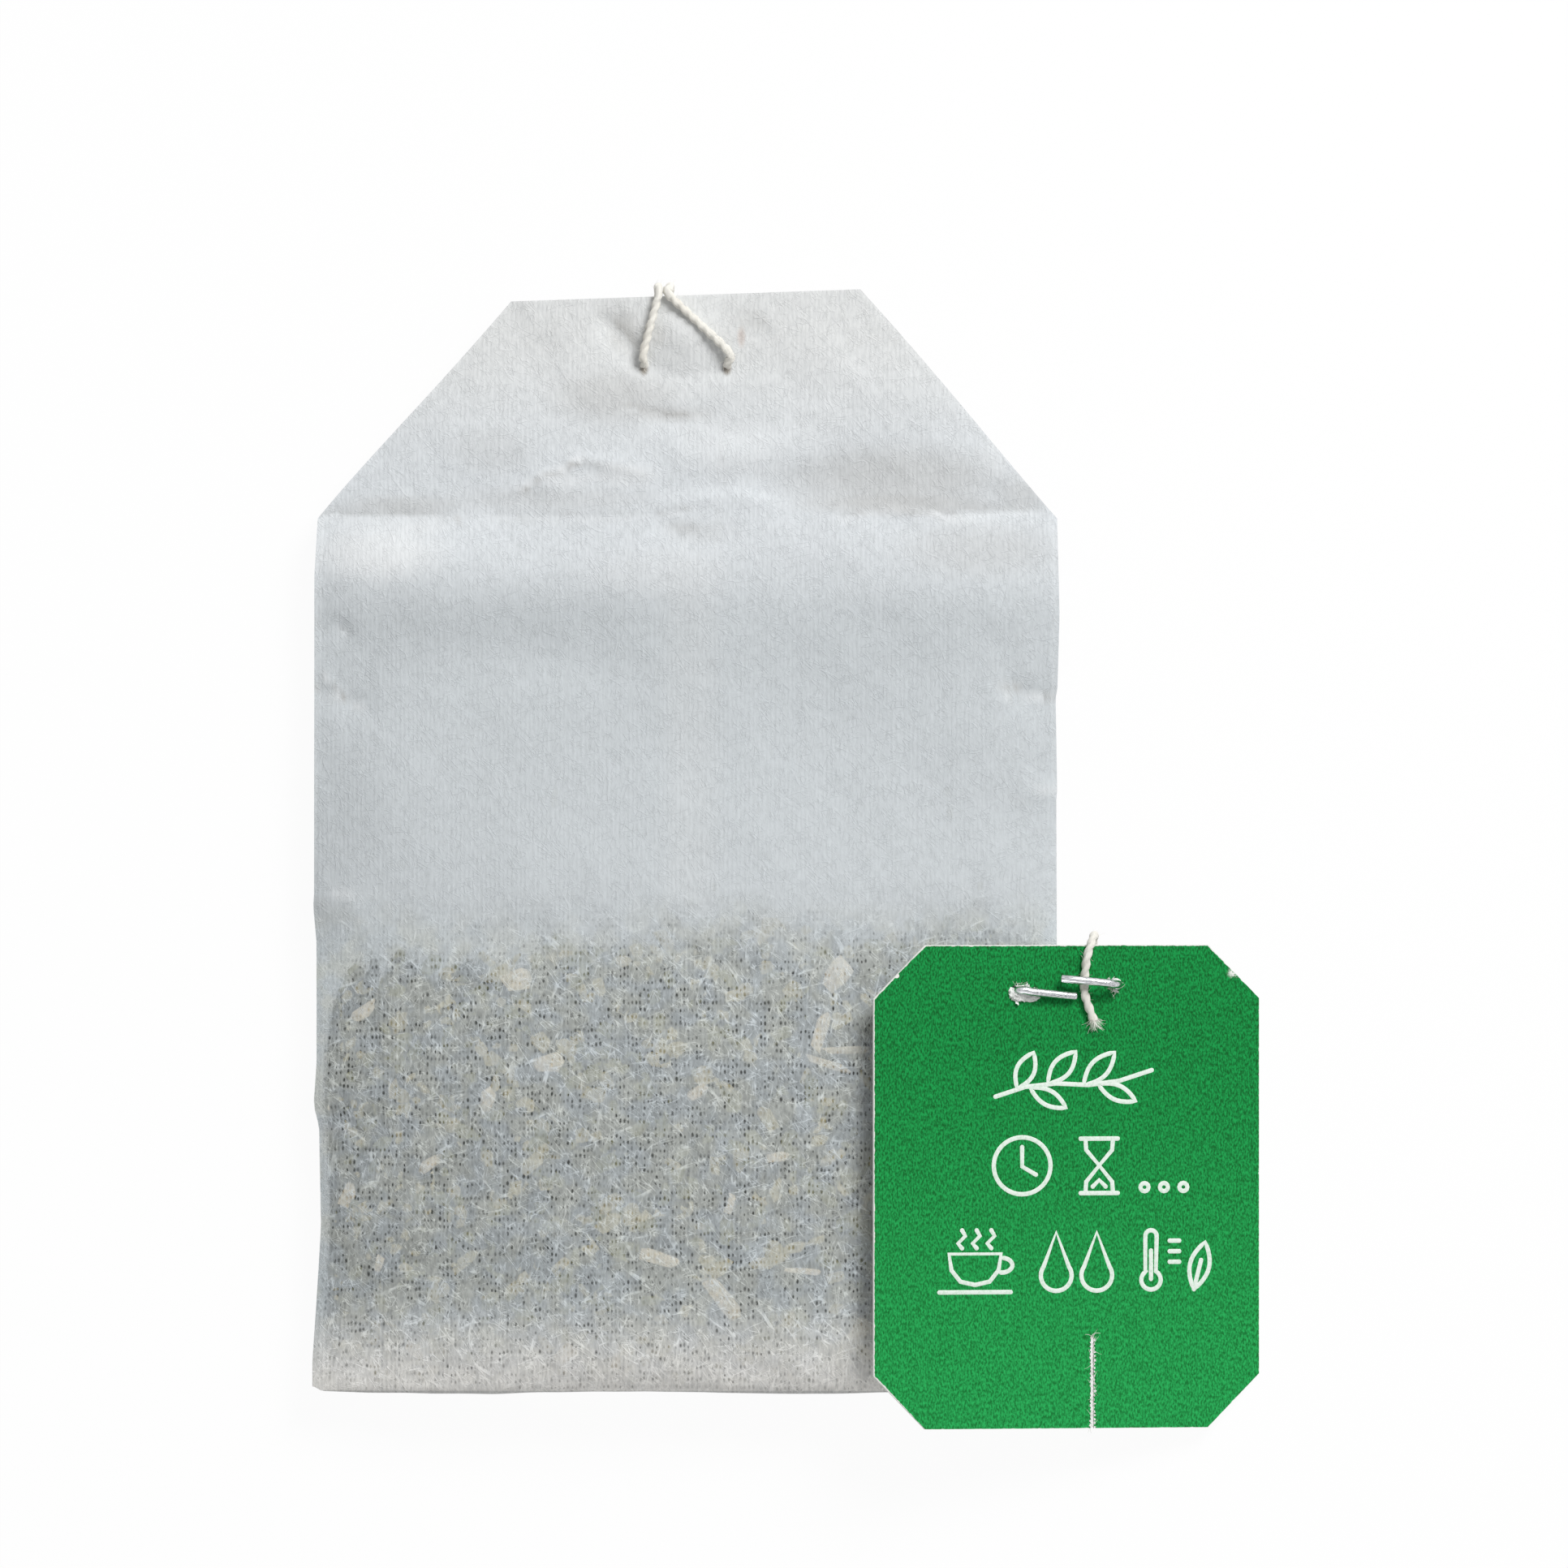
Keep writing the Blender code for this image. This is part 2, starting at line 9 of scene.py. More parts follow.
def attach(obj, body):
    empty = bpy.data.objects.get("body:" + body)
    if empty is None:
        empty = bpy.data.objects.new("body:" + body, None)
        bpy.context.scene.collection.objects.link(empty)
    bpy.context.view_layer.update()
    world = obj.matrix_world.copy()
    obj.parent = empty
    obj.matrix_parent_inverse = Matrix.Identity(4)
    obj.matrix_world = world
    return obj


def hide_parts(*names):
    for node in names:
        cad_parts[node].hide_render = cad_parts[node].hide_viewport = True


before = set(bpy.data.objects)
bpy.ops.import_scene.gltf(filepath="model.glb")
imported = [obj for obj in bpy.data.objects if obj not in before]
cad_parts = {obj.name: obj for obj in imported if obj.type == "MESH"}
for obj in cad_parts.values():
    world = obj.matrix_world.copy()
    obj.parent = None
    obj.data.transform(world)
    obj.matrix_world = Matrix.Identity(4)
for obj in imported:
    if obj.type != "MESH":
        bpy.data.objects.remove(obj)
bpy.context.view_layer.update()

MM = 0.001

# The bag's outline and folds, the same as in the solid model
BAG_WIDTH = 0.0500
BOTTOM_Y = -0.0151
SHOULDER_Y = 0.0437
TOP_FOLD_Y = 0.0587
TOP_FOLD_WIDTH = 0.47 * BAG_WIDTH
FLAP_HEIGHT = 0.0083
TOP_FOLD_LEAN = 0.035
PLY = 0.00006
PITCH = 0.00012
FOLDED_LEVELS = 16
CORNER_STEP_X = 2.1 * PITCH
CORNER_STEP_Y = 1.0 * PITCH
CORNER_SPREAD = 0.012
FOLD_START = 0.0003
JOIN_Z = 0.00305
EDGE_RISE = 0.0008
EDGE_DROOP = 0.0012
FRONT_SWELL = 0.0022
REAR_SWELL = 0.0024
INNER_SWELL = 0.0008
BOTTOM_ROUNDING = 0.0070
SWELL_FULL_Y = 0.0040
SWELL_END_Y = 0.0300
GUSSET_RISE = 0.0082
GUSSET_EASE = 0.0030
TEA_TOP_Y = 0.0160

# Thread, tag and staple, the same as in the solid model
THREAD_DIAMETER = 0.00055
THREAD_ROOM = 0.00030
THREAD_LIFT = 0.00005
THREAD_CLEARANCE = 0.00017
THREAD_BEND = 0.0011
STITCH_Y = 0.0539
STITCH_SPACING = 0.0056
TAG_WIDTH = 0.0270
TAG_HEIGHT = 0.0325
TAG_THICKNESS = 0.00026
TAG_CHAMFER = 0.0036
TAG_RIGHT_X = 0.0386
TAG_TOP_Y = 0.0150
TAG_SLOPE = 0.2792856
SLIT_LENGTH = 0.0061
SLIT_X = 0.0018
WIRE_DIAMETER = 0.00055
WIRE_GAP = 0.00008
STAPLE_SPAN = 0.0071
STAPLE_Y = 0.0134
STAPLE_LEAN = 0.0004
STAPLE_LEG = 0.0041

HALF_WIDTH = BAG_WIDTH / 2
HEAD_LOW_Z = THREAD_DIAMETER + THREAD_ROOM + PLY / 2
HEAD_TOP_Z = HEAD_LOW_Z + (FOLDED_LEVELS - 1) * PITCH
MOUTH_S = TOP_FOLD_Y + FLAP_HEIGHT
CORNER_RUN = Vector((HALF_WIDTH - TOP_FOLD_WIDTH / 2, SHOULDER_Y - TOP_FOLD_Y))
CORNER_SLOPE = -CORNER_RUN.x / CORNER_RUN.y
THREAD_LOW_Z = THREAD_DIAMETER / 2 + THREAD_LIFT
THREAD_TOP_Z = HEAD_TOP_Z + PLY / 2 + THREAD_DIAMETER / 2 + THREAD_CLEARANCE

# How finely the paper is divided
PLY_COLUMNS = 119
CORNER_COLUMNS = 4
FLAP_ROWS = 8
HEAD_ROWS = 44
CHAMBER_ROWS = 92
EDGE_ROW_SHARES = (0.06, 0.025)
GUSSET_ROW_SHARES = (0.0, 0.33, 0.67, 1.0)
CLOSER_AT_ENDS = 0.6
SHEET_UV = 0.2
SHEET_START = 0.13

# View and light
CAMERA_AT = Vector((0.00662, 0.02582, 1.5))
FRAME_WIDTH = 0.1057
SENSOR = 36.0
SKY_STRENGTH = 0.41
KEY_POWER = 3.35
KEY_AT = Vector((0.26, 0.40, 0.40))
KEY_SIZE = 0.26
FILL_POWER = 0.50
FILL_AT = Vector((-0.06, -0.46, 0.30))
FILL_SIZE = 0.40
FLOOR_HALF = 3.0
FLOOR_DROP = 0.00002
FLOOR_GREY = (0.92, 0.92, 0.92, 1.0)
FLOOR_WHITE = 0.95


# Scene, view and light

def smooth(low, high, value):
    """0 at low, 1 at high, with a soft start and end."""
    share = min(max((value - low) / (high - low), 0.0), 1.0)
    return share * share * (3.0 - 2.0 * share)


def mix(first, second, share):
    """The value that lies a share of the way from first to second."""
    return first + (second - first) * share


def link_object(name, data):
    """A new object in the scene for some data."""
    made = bpy.data.objects.new(name, data)
    bpy.context.scene.collection.objects.link(made)
    return made


def mesh_object(name, shape, looks, soft_angle=None):
    """An object for a bmesh, which this frees, with its materials."""
    mesh = bpy.data.meshes.new(name)
    shape.to_mesh(mesh)
    shape.free()
    for look in looks:
        mesh.materials.append(look)
    made = link_object(name, mesh)
    if soft_angle is not None:
        mesh.shade_smooth()
        mesh.set_sharp_from_angle(angle=math.radians(soft_angle))
    return made


def camera():
    """Looks straight down at the bag from far off."""
    data = bpy.data.cameras.new("camera")
    data.sensor_width = SENSOR
    data.lens = SENSOR * CAMERA_AT.z / FRAME_WIDTH
    data.clip_start, data.clip_end = 0.05, 10.0
    made = link_object("camera", data)
    made.location = CAMERA_AT
    bpy.context.scene.camera = made


def lamp(name, place, size, power, target):
    """A soft square lamp that points at target."""
    data = bpy.data.lights.new(name, "AREA")
    data.shape = "SQUARE"
    data.size = size
    data.energy = power
    made = link_object(name, data)
    made.location = place
    made.rotation_euler = (target - place).to_track_quat("-Z", "Y").to_euler()
    return made


# Node helpers

def node(tree, kind, **settings):
    """A new node with its settings."""
    made = tree.nodes.new(kind)
    for name, value in settings.items():
        setattr(made, name, value)
    return made


def feed(tree, socket, value):
    """Links a socket or sets a number or colour on an input."""
    if isinstance(value, bpy.types.NodeSocket):
        tree.links.new(value, socket)
    else:
        socket.default_value = value


def maths(tree, operation, first, second=0.0, third=0.0, clamp=False):
    """A Math node's result."""
    made = node(tree, "ShaderNodeMath", operation=operation, use_clamp=clamp)
    for socket, value in zip(made.inputs, (first, second, third)):
        feed(tree, socket, value)
    return made.outputs[0]


def ramp(tree, value, low, high, out_low=0.0, out_high=1.0):
    """Maps a value softly from one range to another."""
    made = node(tree, "ShaderNodeMapRange", interpolation_type="SMOOTHSTEP")
    for socket, given in zip(made.inputs, (value, low, high, out_low, out_high)):
        feed(tree, socket, given)
    return made.outputs[0]


def mapped(tree, vector, scale, turn=0.0, place=(0.0, 0.0, 0.0)):
    """Turned and stretched coordinates."""
    turned = node(tree, "ShaderNodeMapping")
    feed(tree, turned.inputs["Vector"], vector)
    turned.inputs["Location"].default_value = place
    turned.inputs["Rotation"].default_value = (0.0, 0.0, turn)
    stretched = node(tree, "ShaderNodeMapping")
    feed(tree, stretched.inputs["Vector"], turned.outputs[0])
    stretched.inputs["Scale"].default_value = scale
    return stretched.outputs[0]


def cloud(tree, vector, scale=1.0, detail=2.0, rough=0.5, distortion=0.0):
    """A noise value."""
    made = node(tree, "ShaderNodeTexNoise")
    feed(tree, made.inputs["Vector"], vector)
    made.inputs["Scale"].default_value = scale
    made.inputs["Detail"].default_value = detail
    made.inputs["Roughness"].default_value = rough
    made.inputs["Distortion"].default_value = distortion
    return made.outputs["Fac"]


def blend(tree, share, first, second):
    """Two colours mixed."""
    made = node(tree, "ShaderNodeMix", data_type="RGBA")
    feed(tree, made.inputs[0], share)
    feed(tree, made.inputs[6], first)
    feed(tree, made.inputs[7], second)
    return made.outputs[2]


def separate(tree, vector):
    """The three parts of a vector."""
    made = node(tree, "ShaderNodeSeparateXYZ")
    feed(tree, made.inputs[0], vector)
    return made.outputs


def object_mm(tree):
    """Object coordinates in millimetres."""
    place = node(tree, "ShaderNodeTexCoord").outputs["Object"]
    return mapped(tree, place, (1 / MM, 1 / MM, 1 / MM))


def bump(tree, height, strength, distance):
    """A normal from a height."""
    made = node(tree, "ShaderNodeBump")
    made.inputs["Strength"].default_value = strength
    made.inputs["Distance"].default_value = distance
    feed(tree, made.inputs["Height"], height)
    return made.outputs["Normal"]


def new_material(name):
    """A material with its tree and its Principled shader."""
    made = bpy.data.materials.new(name)
    made.use_nodes = True
    return made, made.node_tree, made.node_tree.nodes["Principled BSDF"]


def new_group(name, inputs, outputs):
    """A shader node group with its input and output nodes."""
    tree = bpy.data.node_groups.new(name, "ShaderNodeTree")
    for label, kind, value in inputs:
        socket = tree.interface.new_socket(name=label, in_out="INPUT", socket_type=kind)
        if value is not None:
            socket.default_value = value
    for label in outputs:
        tree.interface.new_socket(name=label, in_out="OUTPUT", socket_type="NodeSocketFloat")
    return tree, tree.nodes.new("NodeGroupInput").outputs, tree.nodes.new("NodeGroupOutput").inputs


def placed(tree, group, **values):
    """A group placed in a material, with its inputs."""
    made = node(tree, "ShaderNodeGroup", node_tree=group)
    for label, value in values.items():
        feed(tree, made.inputs[label.replace("_", " ").capitalize()], value)
    return made.outputs


FIBRE_STRETCH = (2.0, 0.34, 1.0)
FIBRE_WIDTH = 0.021
FIBRE_WAYS = ((0.25, (0, 0, 0)), (1.25, (7, 3, 0)), (2.2, (13, 5, 2)), (-0.6, (3, 17, 4)))


def grain_group():
    """Fine grain with long flecks, and a wide slow mottle, for card, thread and leaf."""
    tree, given, made = new_group(
        "grain",
        (("Vector", "NodeSocketVector", None), ("Length", "NodeSocketFloat", 1.0)),
        ("Fine", "Wide"),
    )
    parts = separate(tree, given["Vector"])
    joined = node(tree, "ShaderNodeCombineXYZ")
    feed(tree, joined.inputs[0], parts[0])
    feed(tree, joined.inputs[1], maths(tree, "DIVIDE", parts[1], given["Length"]))
    feed(tree, joined.inputs[2], parts[2])
    feed(tree, made["Fine"], cloud(tree, joined.outputs[0], 4.6, 2.0, 0.6))
    feed(tree, made["Wide"], cloud(tree, given["Vector"], 0.30, 3.0, 0.55))
    return tree


def fibre_line(tree, vector, turn, place):
    """Thin wavy lines that run one way."""
    along = mapped(tree, vector, FIBRE_STRETCH, turn, place)
    value = cloud(tree, along, 1.0, 1.0, 0.4, 0.5)
    off = maths(tree, "ABSOLUTE", maths(tree, "SUBTRACT", value, 0.5))
    return ramp(tree, off, 0.0, FIBRE_WIDTH, 1.0, 0.0)


def fibre_group():
    """A net of loose fibres that lie in all directions."""
    tree, given, made = new_group("fibres", (("Vector", "NodeSocketVector", None),), ("Net",))
    lines = [fibre_line(tree, given["Vector"], turn, place) for turn, place in FIBRE_WAYS]
    net = lines[0]
    for line in lines[1:]:
        net = maths(tree, "MAXIMUM", net, line)
    gate = ramp(tree, cloud(tree, given["Vector"], 1.2, 2.0), 0.32, 0.60)
    feed(tree, made["Net"], maths(tree, "MULTIPLY", net, gate))
    return tree


# Materials, with places in millimetres

# Paper
PAPER_BLUISH = (0.705, 0.765, 0.792, 1.0)
PAPER_OLIVE = (0.745, 0.780, 0.742, 1.0)
PAPER_SINGLE = (0.680, 0.720, 0.742, 1.0)
PAPER_PRESSED = (0.830, 0.865, 0.890, 1.0)
PAPER_HEAD = (0.860, 0.872, 0.868, 1.0)
# Warmer and brighter colour at the foot: partly the paper's tone there, partly painted light where the
# rounded bottom faces away from the key lamp
PAPER_FOOT_TONE_AND_PAINTED_LIGHT = (0.970, 0.950, 0.910, 1.0)
PAPER_SEAM = (0.780, 0.765, 0.745, 1.0)
PAPER_DULL = (0.560, 0.585, 0.595, 1.0)
# Painted shade along the creases and on the head
PAPER_PAINTED_SHADE = (0.500, 0.485, 0.455, 1.0)
PAPER_LINE = (0.420, 0.430, 0.430, 1.0)
# Painted highlight along the creases and on the head
PAPER_PAINTED_HIGHLIGHT = (0.930, 0.950, 0.960, 1.0)
# Painted shadow round the stitch holes
PAPER_PAINTED_HOLE_SHADOW = (0.26, 0.22, 0.17, 1.0)
PAPER_STAIN = (0.60, 0.44, 0.36, 1.0)
HOLE_PITCH = (0.27, 0.47)
HOLE_DEPTH = 0.47
FIBRE_DEPTH = 0.36
OVER_TEA_DENSITY = 0.485
EMPTY_DENSITY = 0.80
FOOT_DENSITY = 0.32
DENSITY_LIMITS = (0.06, 0.97)
RIB_PITCH = 0.29
STITCH_HOLES = ((-2.80, 53.75), (2.78, 53.75))
STAIN_AT = (3.75, 55.9)
SHEET_FOOT = -15.0

# Card, print, wire and cotton; a pair is a darker and a lighter tone
INK_TOP = ((0.0018, 0.100, 0.016, 1.0), (0.0090, 0.322, 0.070, 1.0))
INK_FOOT = ((0.0056, 0.162, 0.030, 1.0), (0.0225, 0.430, 0.103, 1.0))
CARD_CORE = ((0.78, 0.79, 0.75, 1.0), (0.88, 0.88, 0.85, 1.0))
TORN_CORE = ((0.70, 0.72, 0.69, 1.0), (0.90, 0.91, 0.89, 1.0))
PRINT_WHITE = (0.78, 0.86, 0.79, 1.0)
PRINT_THIN = (0.42, 0.64, 0.45, 1.0)
WIRE_TONES = ((0.34, 0.35, 0.37, 1.0), (0.80, 0.81, 0.83, 1.0))
COTTON_TONES = ((0.92, 0.89, 0.81, 1.0), (0.96, 0.94, 0.87, 1.0))
# Painted shade in the yarn's grooves
COTTON_GROOVE_PAINTED_SHADE = (0.66, 0.61, 0.52, 1.0)
HAIR_TONES = ((0.86, 0.84, 0.78, 1.0), (0.93, 0.92, 0.88, 1.0))
NICK_AT = (-11.9, 14.2)
NICK_SIZE = (0.30, 0.25)
RUBBED_AT = (11.75, 14.35)
RUBBED_SIZE = (0.60, 0.50)

# Leaf and stem: name, darker and lighter tone
LEAF_LOOKS = (
    ("leaf_dark", (0.012, 0.015, 0.012), (0.045, 0.052, 0.036)),
    ("leaf_olive", (0.15, 0.155, 0.060), (0.30, 0.29, 0.13)),
    ("leaf_straw", (0.44, 0.39, 0.21), (0.62, 0.54, 0.34)),
    ("stem_pale", (0.80, 0.69, 0.50), (0.94, 0.84, 0.66)),
)


def sheet_mm(tree):
    """Coordinates on the unfolded sheet, in millimetres."""
    place = node(tree, "ShaderNodeUVMap", uv_map="sheet").outputs[0]
    return mapped(tree, place, (SHEET_UV / MM, SHEET_UV / MM, 1.0))


def pinholes(tree, sheet):
    """The small openings that the wire of the paper machine leaves, in rough rows."""
    cells = node(tree, "ShaderNodeTexVoronoi", voronoi_dimensions="2D", feature="F1")
    rows = mapped(tree, sheet, (1 / HOLE_PITCH[0], 1 / HOLE_PITCH[1], 1.0))
    feed(tree, cells.inputs["Vector"], rows)
    cells.inputs["Scale"].default_value = 1.0
    cells.inputs["Randomness"].default_value = 0.48
    shares = node(tree, "ShaderNodeSeparateColor")
    feed(tree, shares.inputs[0], cells.outputs["Color"])
    size = ramp(tree, shares.outputs[1], 0.0, 1.0, 0.28, 0.52)
    dots = ramp(tree, cells.outputs["Distance"], 0.10, size, 1.0, 0.0)
    some = ramp(tree, shares.outputs[0], 0.05, 0.85)
    where = ramp(tree, cloud(tree, sheet, 0.7, 3.0), 0.34, 0.62, 0.10, 1.0)
    return maths(tree, "MULTIPLY", dots, maths(tree, "MULTIPLY", some, where))


def band(tree, value, low, high, soft):
    """1 between low and high, with soft ends."""
    rise = ramp(tree, value, low - soft, low + soft)
    fall = ramp(tree, value, high - soft, high + soft, 1.0, 0.0)
    return maths(tree, "MULTIPLY", rise, fall)


def spot(tree, place, centre, radii):
    """1 in the middle of a soft oval, 0 outside."""
    moved = mapped(tree, place, (1 / radii[0], 1 / radii[1], 0.0), 0.0, (-centre[0], -centre[1], 0.0))
    length = node(tree, "ShaderNodeVectorMath", operation="LENGTH")
    feed(tree, length.inputs[0], moved)
    return ramp(tree, length.outputs["Value"], 0.25, 1.0, 1.0, 0.0)


def swing(tree, value, depth, onto):
    """Adds a noise value, taken about its middle, to another value."""
    return maths(tree, "MULTIPLY_ADD", maths(tree, "SUBTRACT", value, 0.5), depth, onto)


def paper_alpha(tree, sheet, y, fibres, streaks, seam):
    """How dense the paper is: open over the tea, closed in the empty part and in the head."""
    formation = cloud(tree, sheet, 0.55, 3.0, 0.65)
    weave = cloud(tree, mapped(tree, sheet, (5.6, 1.5, 1.0)), 1.0, 2.0, 0.6)
    over_tea = swing(tree, formation, 0.38, OVER_TEA_DENSITY)
    over_tea = swing(tree, streaks, 0.30, over_tea)
    over_tea = swing(tree, weave, 0.34, over_tea)
    over_tea = maths(tree, "MULTIPLY_ADD", fibres, FIBRE_DEPTH, over_tea)
    foot = ramp(tree, swing(tree, formation, 3.0, y), -15.4, -6.5, FOOT_DENSITY, 0.0)
    over_tea = maths(tree, "ADD", over_tea, foot)
    over_tea = maths(tree, "MULTIPLY_ADD", pinholes(tree, sheet), -HOLE_DEPTH, over_tea)
    closed = ramp(tree, swing(tree, formation, 5.0, y), 12.0, 20.0)
    empty = swing(tree, streaks, 0.10, swing(tree, weave, 0.12, EMPTY_DENSITY))
    empty = maths(tree, "MULTIPLY_ADD", seam, 0.025, empty)
    alpha = node(tree, "ShaderNodeMix", data_type="FLOAT")
    feed(tree, alpha.inputs[0], closed)
    feed(tree, alpha.inputs[2], over_tea)
    feed(tree, alpha.inputs[3], empty)
    held = node(tree, "ShaderNodeClamp")
    feed(tree, held.inputs[0], alpha.outputs[0])
    held.inputs[1].default_value, held.inputs[2].default_value = DENSITY_LIMITS
    return held.outputs[0]


def paper_colour(tree, place, streaks, seam):
    """The paper's tone: cool and grey where it is single, brighter in the pressed head; with a painted
    shadow at the stitch holes, painted shade and highlights along the creases and on the head, and a foot
    that is partly painted light.
    """
    y = separate(tree, place)[1]
    slow = cloud(tree, place, 0.16, 2.0)
    tint = ramp(tree, cloud(tree, place, 0.55, 3.0), 0.38, 0.62)
    veil = blend(tree, tint, PAPER_BLUISH, PAPER_OLIVE)
    single = blend(tree, ramp(tree, swing(tree, slow, 4.0, y), 13.0, 19.0), veil, PAPER_SINGLE)
    colour = blend(tree, ramp(tree, y, 36.0, 42.5), single, PAPER_PRESSED)
    colour = blend(tree, ramp(tree, y, 46.0, 57.0), colour, PAPER_HEAD)
    # Foot colour: partly the paper's warmer tone, partly painted light on the rounded bottom that faces
    # away from the key lamp
    foot = ramp(tree, y, SHEET_FOOT, SHEET_FOOT + 7.0, 0.90, 0.0)
    colour = blend(tree, foot, colour, PAPER_FOOT_TONE_AND_PAINTED_LIGHT)
    foot_line = ramp(tree, y, SHEET_FOOT - 0.05, SHEET_FOOT + 0.10, 0.6, 0.0)
    colour = blend(tree, foot_line, colour, PAPER_LINE)
    colour = blend(tree, maths(tree, "MULTIPLY", seam, 0.10), colour, PAPER_SEAM)
    dull = ramp(tree, streaks, 0.25, 0.62, 0.24, 0.0)
    colour = blend(tree, dull, colour, PAPER_DULL)
    # Painted shadow round each stitch hole
    for centre in STITCH_HOLES:
        shade = maths(tree, "MULTIPLY", spot(tree, place, centre, (0.42, 0.60)), 0.80)
        colour = blend(tree, shade, colour, PAPER_PAINTED_HOLE_SHADOW)
    stain = maths(tree, "MULTIPLY", spot(tree, place, STAIN_AT, (0.40, 0.95)), 0.40)
    colour = blend(tree, stain, colour, PAPER_STAIN)
    # Painted shade and painted highlights from the creases and the head's patches, stored at each corner
    # of the sheet
    folds = node(tree, "ShaderNodeAttribute", attribute_name="folds").outputs["Color"]
    parts = node(tree, "ShaderNodeSeparateColor")
    feed(tree, parts.inputs[0], folds)
    colour = blend(tree, parts.outputs[0], colour, PAPER_PAINTED_SHADE)
    return blend(tree, parts.outputs[1], colour, PAPER_PAINTED_HIGHLIGHT)


def paper_material(groups):
    """Thin filter paper: see-through where it is single, whiter where its plies are pressed."""
    look, tree, shader = new_material("filter_paper_fine")
    sheet, place = sheet_mm(tree), object_mm(tree)
    x, y = separate(tree, place)[:2]
    streaks = cloud(tree, mapped(tree, sheet, (4.4, 1.4, 1.0)), 1.0, 2.0, 0.55)
    ribs = maths(tree, "SINE", maths(tree, "MULTIPLY", separate(tree, sheet)[0], 2 * math.pi / RIB_PITCH))
    fibres = placed(tree, groups["fibres"], vector=sheet)["Net"]
    seam = maths(tree, "MULTIPLY", band(tree, x, -1.4, 2.0, 1.0), band(tree, y, 16.0, 41.0, 4.0))
    feed(tree, shader.inputs["Alpha"], paper_alpha(tree, sheet, y, fibres, streaks, seam))
    feed(tree, shader.inputs["Base Color"], paper_colour(tree, place, streaks, seam))
    shader.inputs["Roughness"].default_value = 0.82
    shader.inputs["Specular IOR Level"].default_value = 0.30
    height = maths(tree, "MULTIPLY_ADD", fibres, 0.5, streaks)
    height = maths(tree, "MULTIPLY_ADD", ribs, 0.10, height)
    feed(tree, shader.inputs["Normal"], bump(tree, height, 0.6, 0.00006))
    return look


def leaf_material(name, first, second, groups):
    """Dry leaf or stem, with lighter and darker flecks."""
    look, tree, shader = new_material(name)
    place = object_mm(tree)
    grain = placed(tree, groups["grain"], vector=place, length=1.4)
    share = ramp(tree, cloud(tree, place, 1.3, 3.0), 0.30, 0.70)
    colour = blend(tree, share, (*first, 1.0), (*second, 1.0))
    dark = tuple(part * 0.55 for part in first)
    colour = blend(tree, ramp(tree, grain["Fine"], 0.40, 0.65, 0.6, 0.0), colour, (*dark, 1.0))
    feed(tree, shader.inputs["Base Color"], colour)
    feed(tree, shader.inputs["Roughness"], ramp(tree, grain["Fine"], 0.2, 0.8, 0.65, 0.9))
    feed(tree, shader.inputs["Normal"], bump(tree, grain["Fine"], 0.6, 0.00012))
    return look


def tag_place(tree):
    """Coordinates on the tag's own plane, in millimetres, from its centre."""
    place = node(tree, "ShaderNodeTexCoord").outputs["Object"]
    moved = node(tree, "ShaderNodeMapping")
    feed(tree, moved.inputs["Vector"], place)
    moved.inputs["Location"].default_value = -tag_centre()
    turned = node(tree, "ShaderNodeMapping")
    feed(tree, turned.inputs["Vector"], moved.outputs[0])
    turned.inputs["Rotation"].default_value = (0.0, -tag_angle(), 0.0)
    return mapped(tree, turned.outputs[0], (1 / MM, 1 / MM, 1 / MM))


def card_ink(tree, place, groups):
    """Green ink with a fine woven-looking mottle."""
    y = separate(tree, place)[1]
    fine = placed(tree, groups["grain"], vector=mapped(tree, place, (1.9, 1.9, 1.9)), length=2.2)["Fine"]
    small = cloud(tree, mapped(tree, place, (9.5, 5.2, 9.5)), 1.0, 1.0, 0.5)
    mottle = maths(tree, "ADD", maths(tree, "MULTIPLY", fine, 0.65), maths(tree, "MULTIPLY", small, 0.35))
    light = ramp(tree, mottle, 0.35, 0.65)
    top, foot = blend(tree, light, *INK_TOP), blend(tree, light, *INK_FOOT)
    return blend(tree, ramp(tree, y, -17.0, 13.0, 1.0, 0.0), top, foot), mottle


def card_wear(tree, place):
    """Where the white core shows: at cut edges, a nick, a rubbed corner and underneath."""
    x, y, z = separate(tree, place)[:3]
    away_x = maths(tree, "SUBTRACT", maths(tree, "ABSOLUTE", x), TAG_WIDTH / 2 / MM)
    away_y = maths(tree, "SUBTRACT", maths(tree, "ABSOLUTE", y), TAG_HEIGHT / 2 / MM)
    both = maths(tree, "ADD", maths(tree, "ADD", away_x, away_y), TAG_CHAMFER / MM)
    corner = maths(tree, "MULTIPLY", both, math.sqrt(0.5))
    outside = maths(tree, "MAXIMUM", maths(tree, "MAXIMUM", away_x, away_y), corner)
    ragged = swing(tree, cloud(tree, place, 2.6, 4.0, 0.7), 0.20, outside)
    left = ramp(tree, x, -13.0, -10.0, 1.0, 0.0)
    top = ramp(tree, y, 13.0, 16.0)
    start = maths(tree, "MULTIPLY_ADD", maths(tree, "MAXIMUM", left, top), -0.07, -0.02)
    worn = ramp(tree, ragged, start, maths(tree, "ADD", start, 0.05))
    nick = ramp(tree, spot(tree, place, NICK_AT, NICK_SIZE), 0.3, 0.7)
    rubbed = spot(tree, place, RUBBED_AT, RUBBED_SIZE)
    patchy = ramp(tree, cloud(tree, place, 3.4, 3.0, 0.7), 0.42, 0.54)
    bare = maths(tree, "MAXIMUM", maths(tree, "MULTIPLY", rubbed, patchy), nick)
    under = ramp(tree, z, 0.06, 0.11, 1.0, 0.0)
    return maths(tree, "MAXIMUM", maths(tree, "MAXIMUM", bare, worn), under)


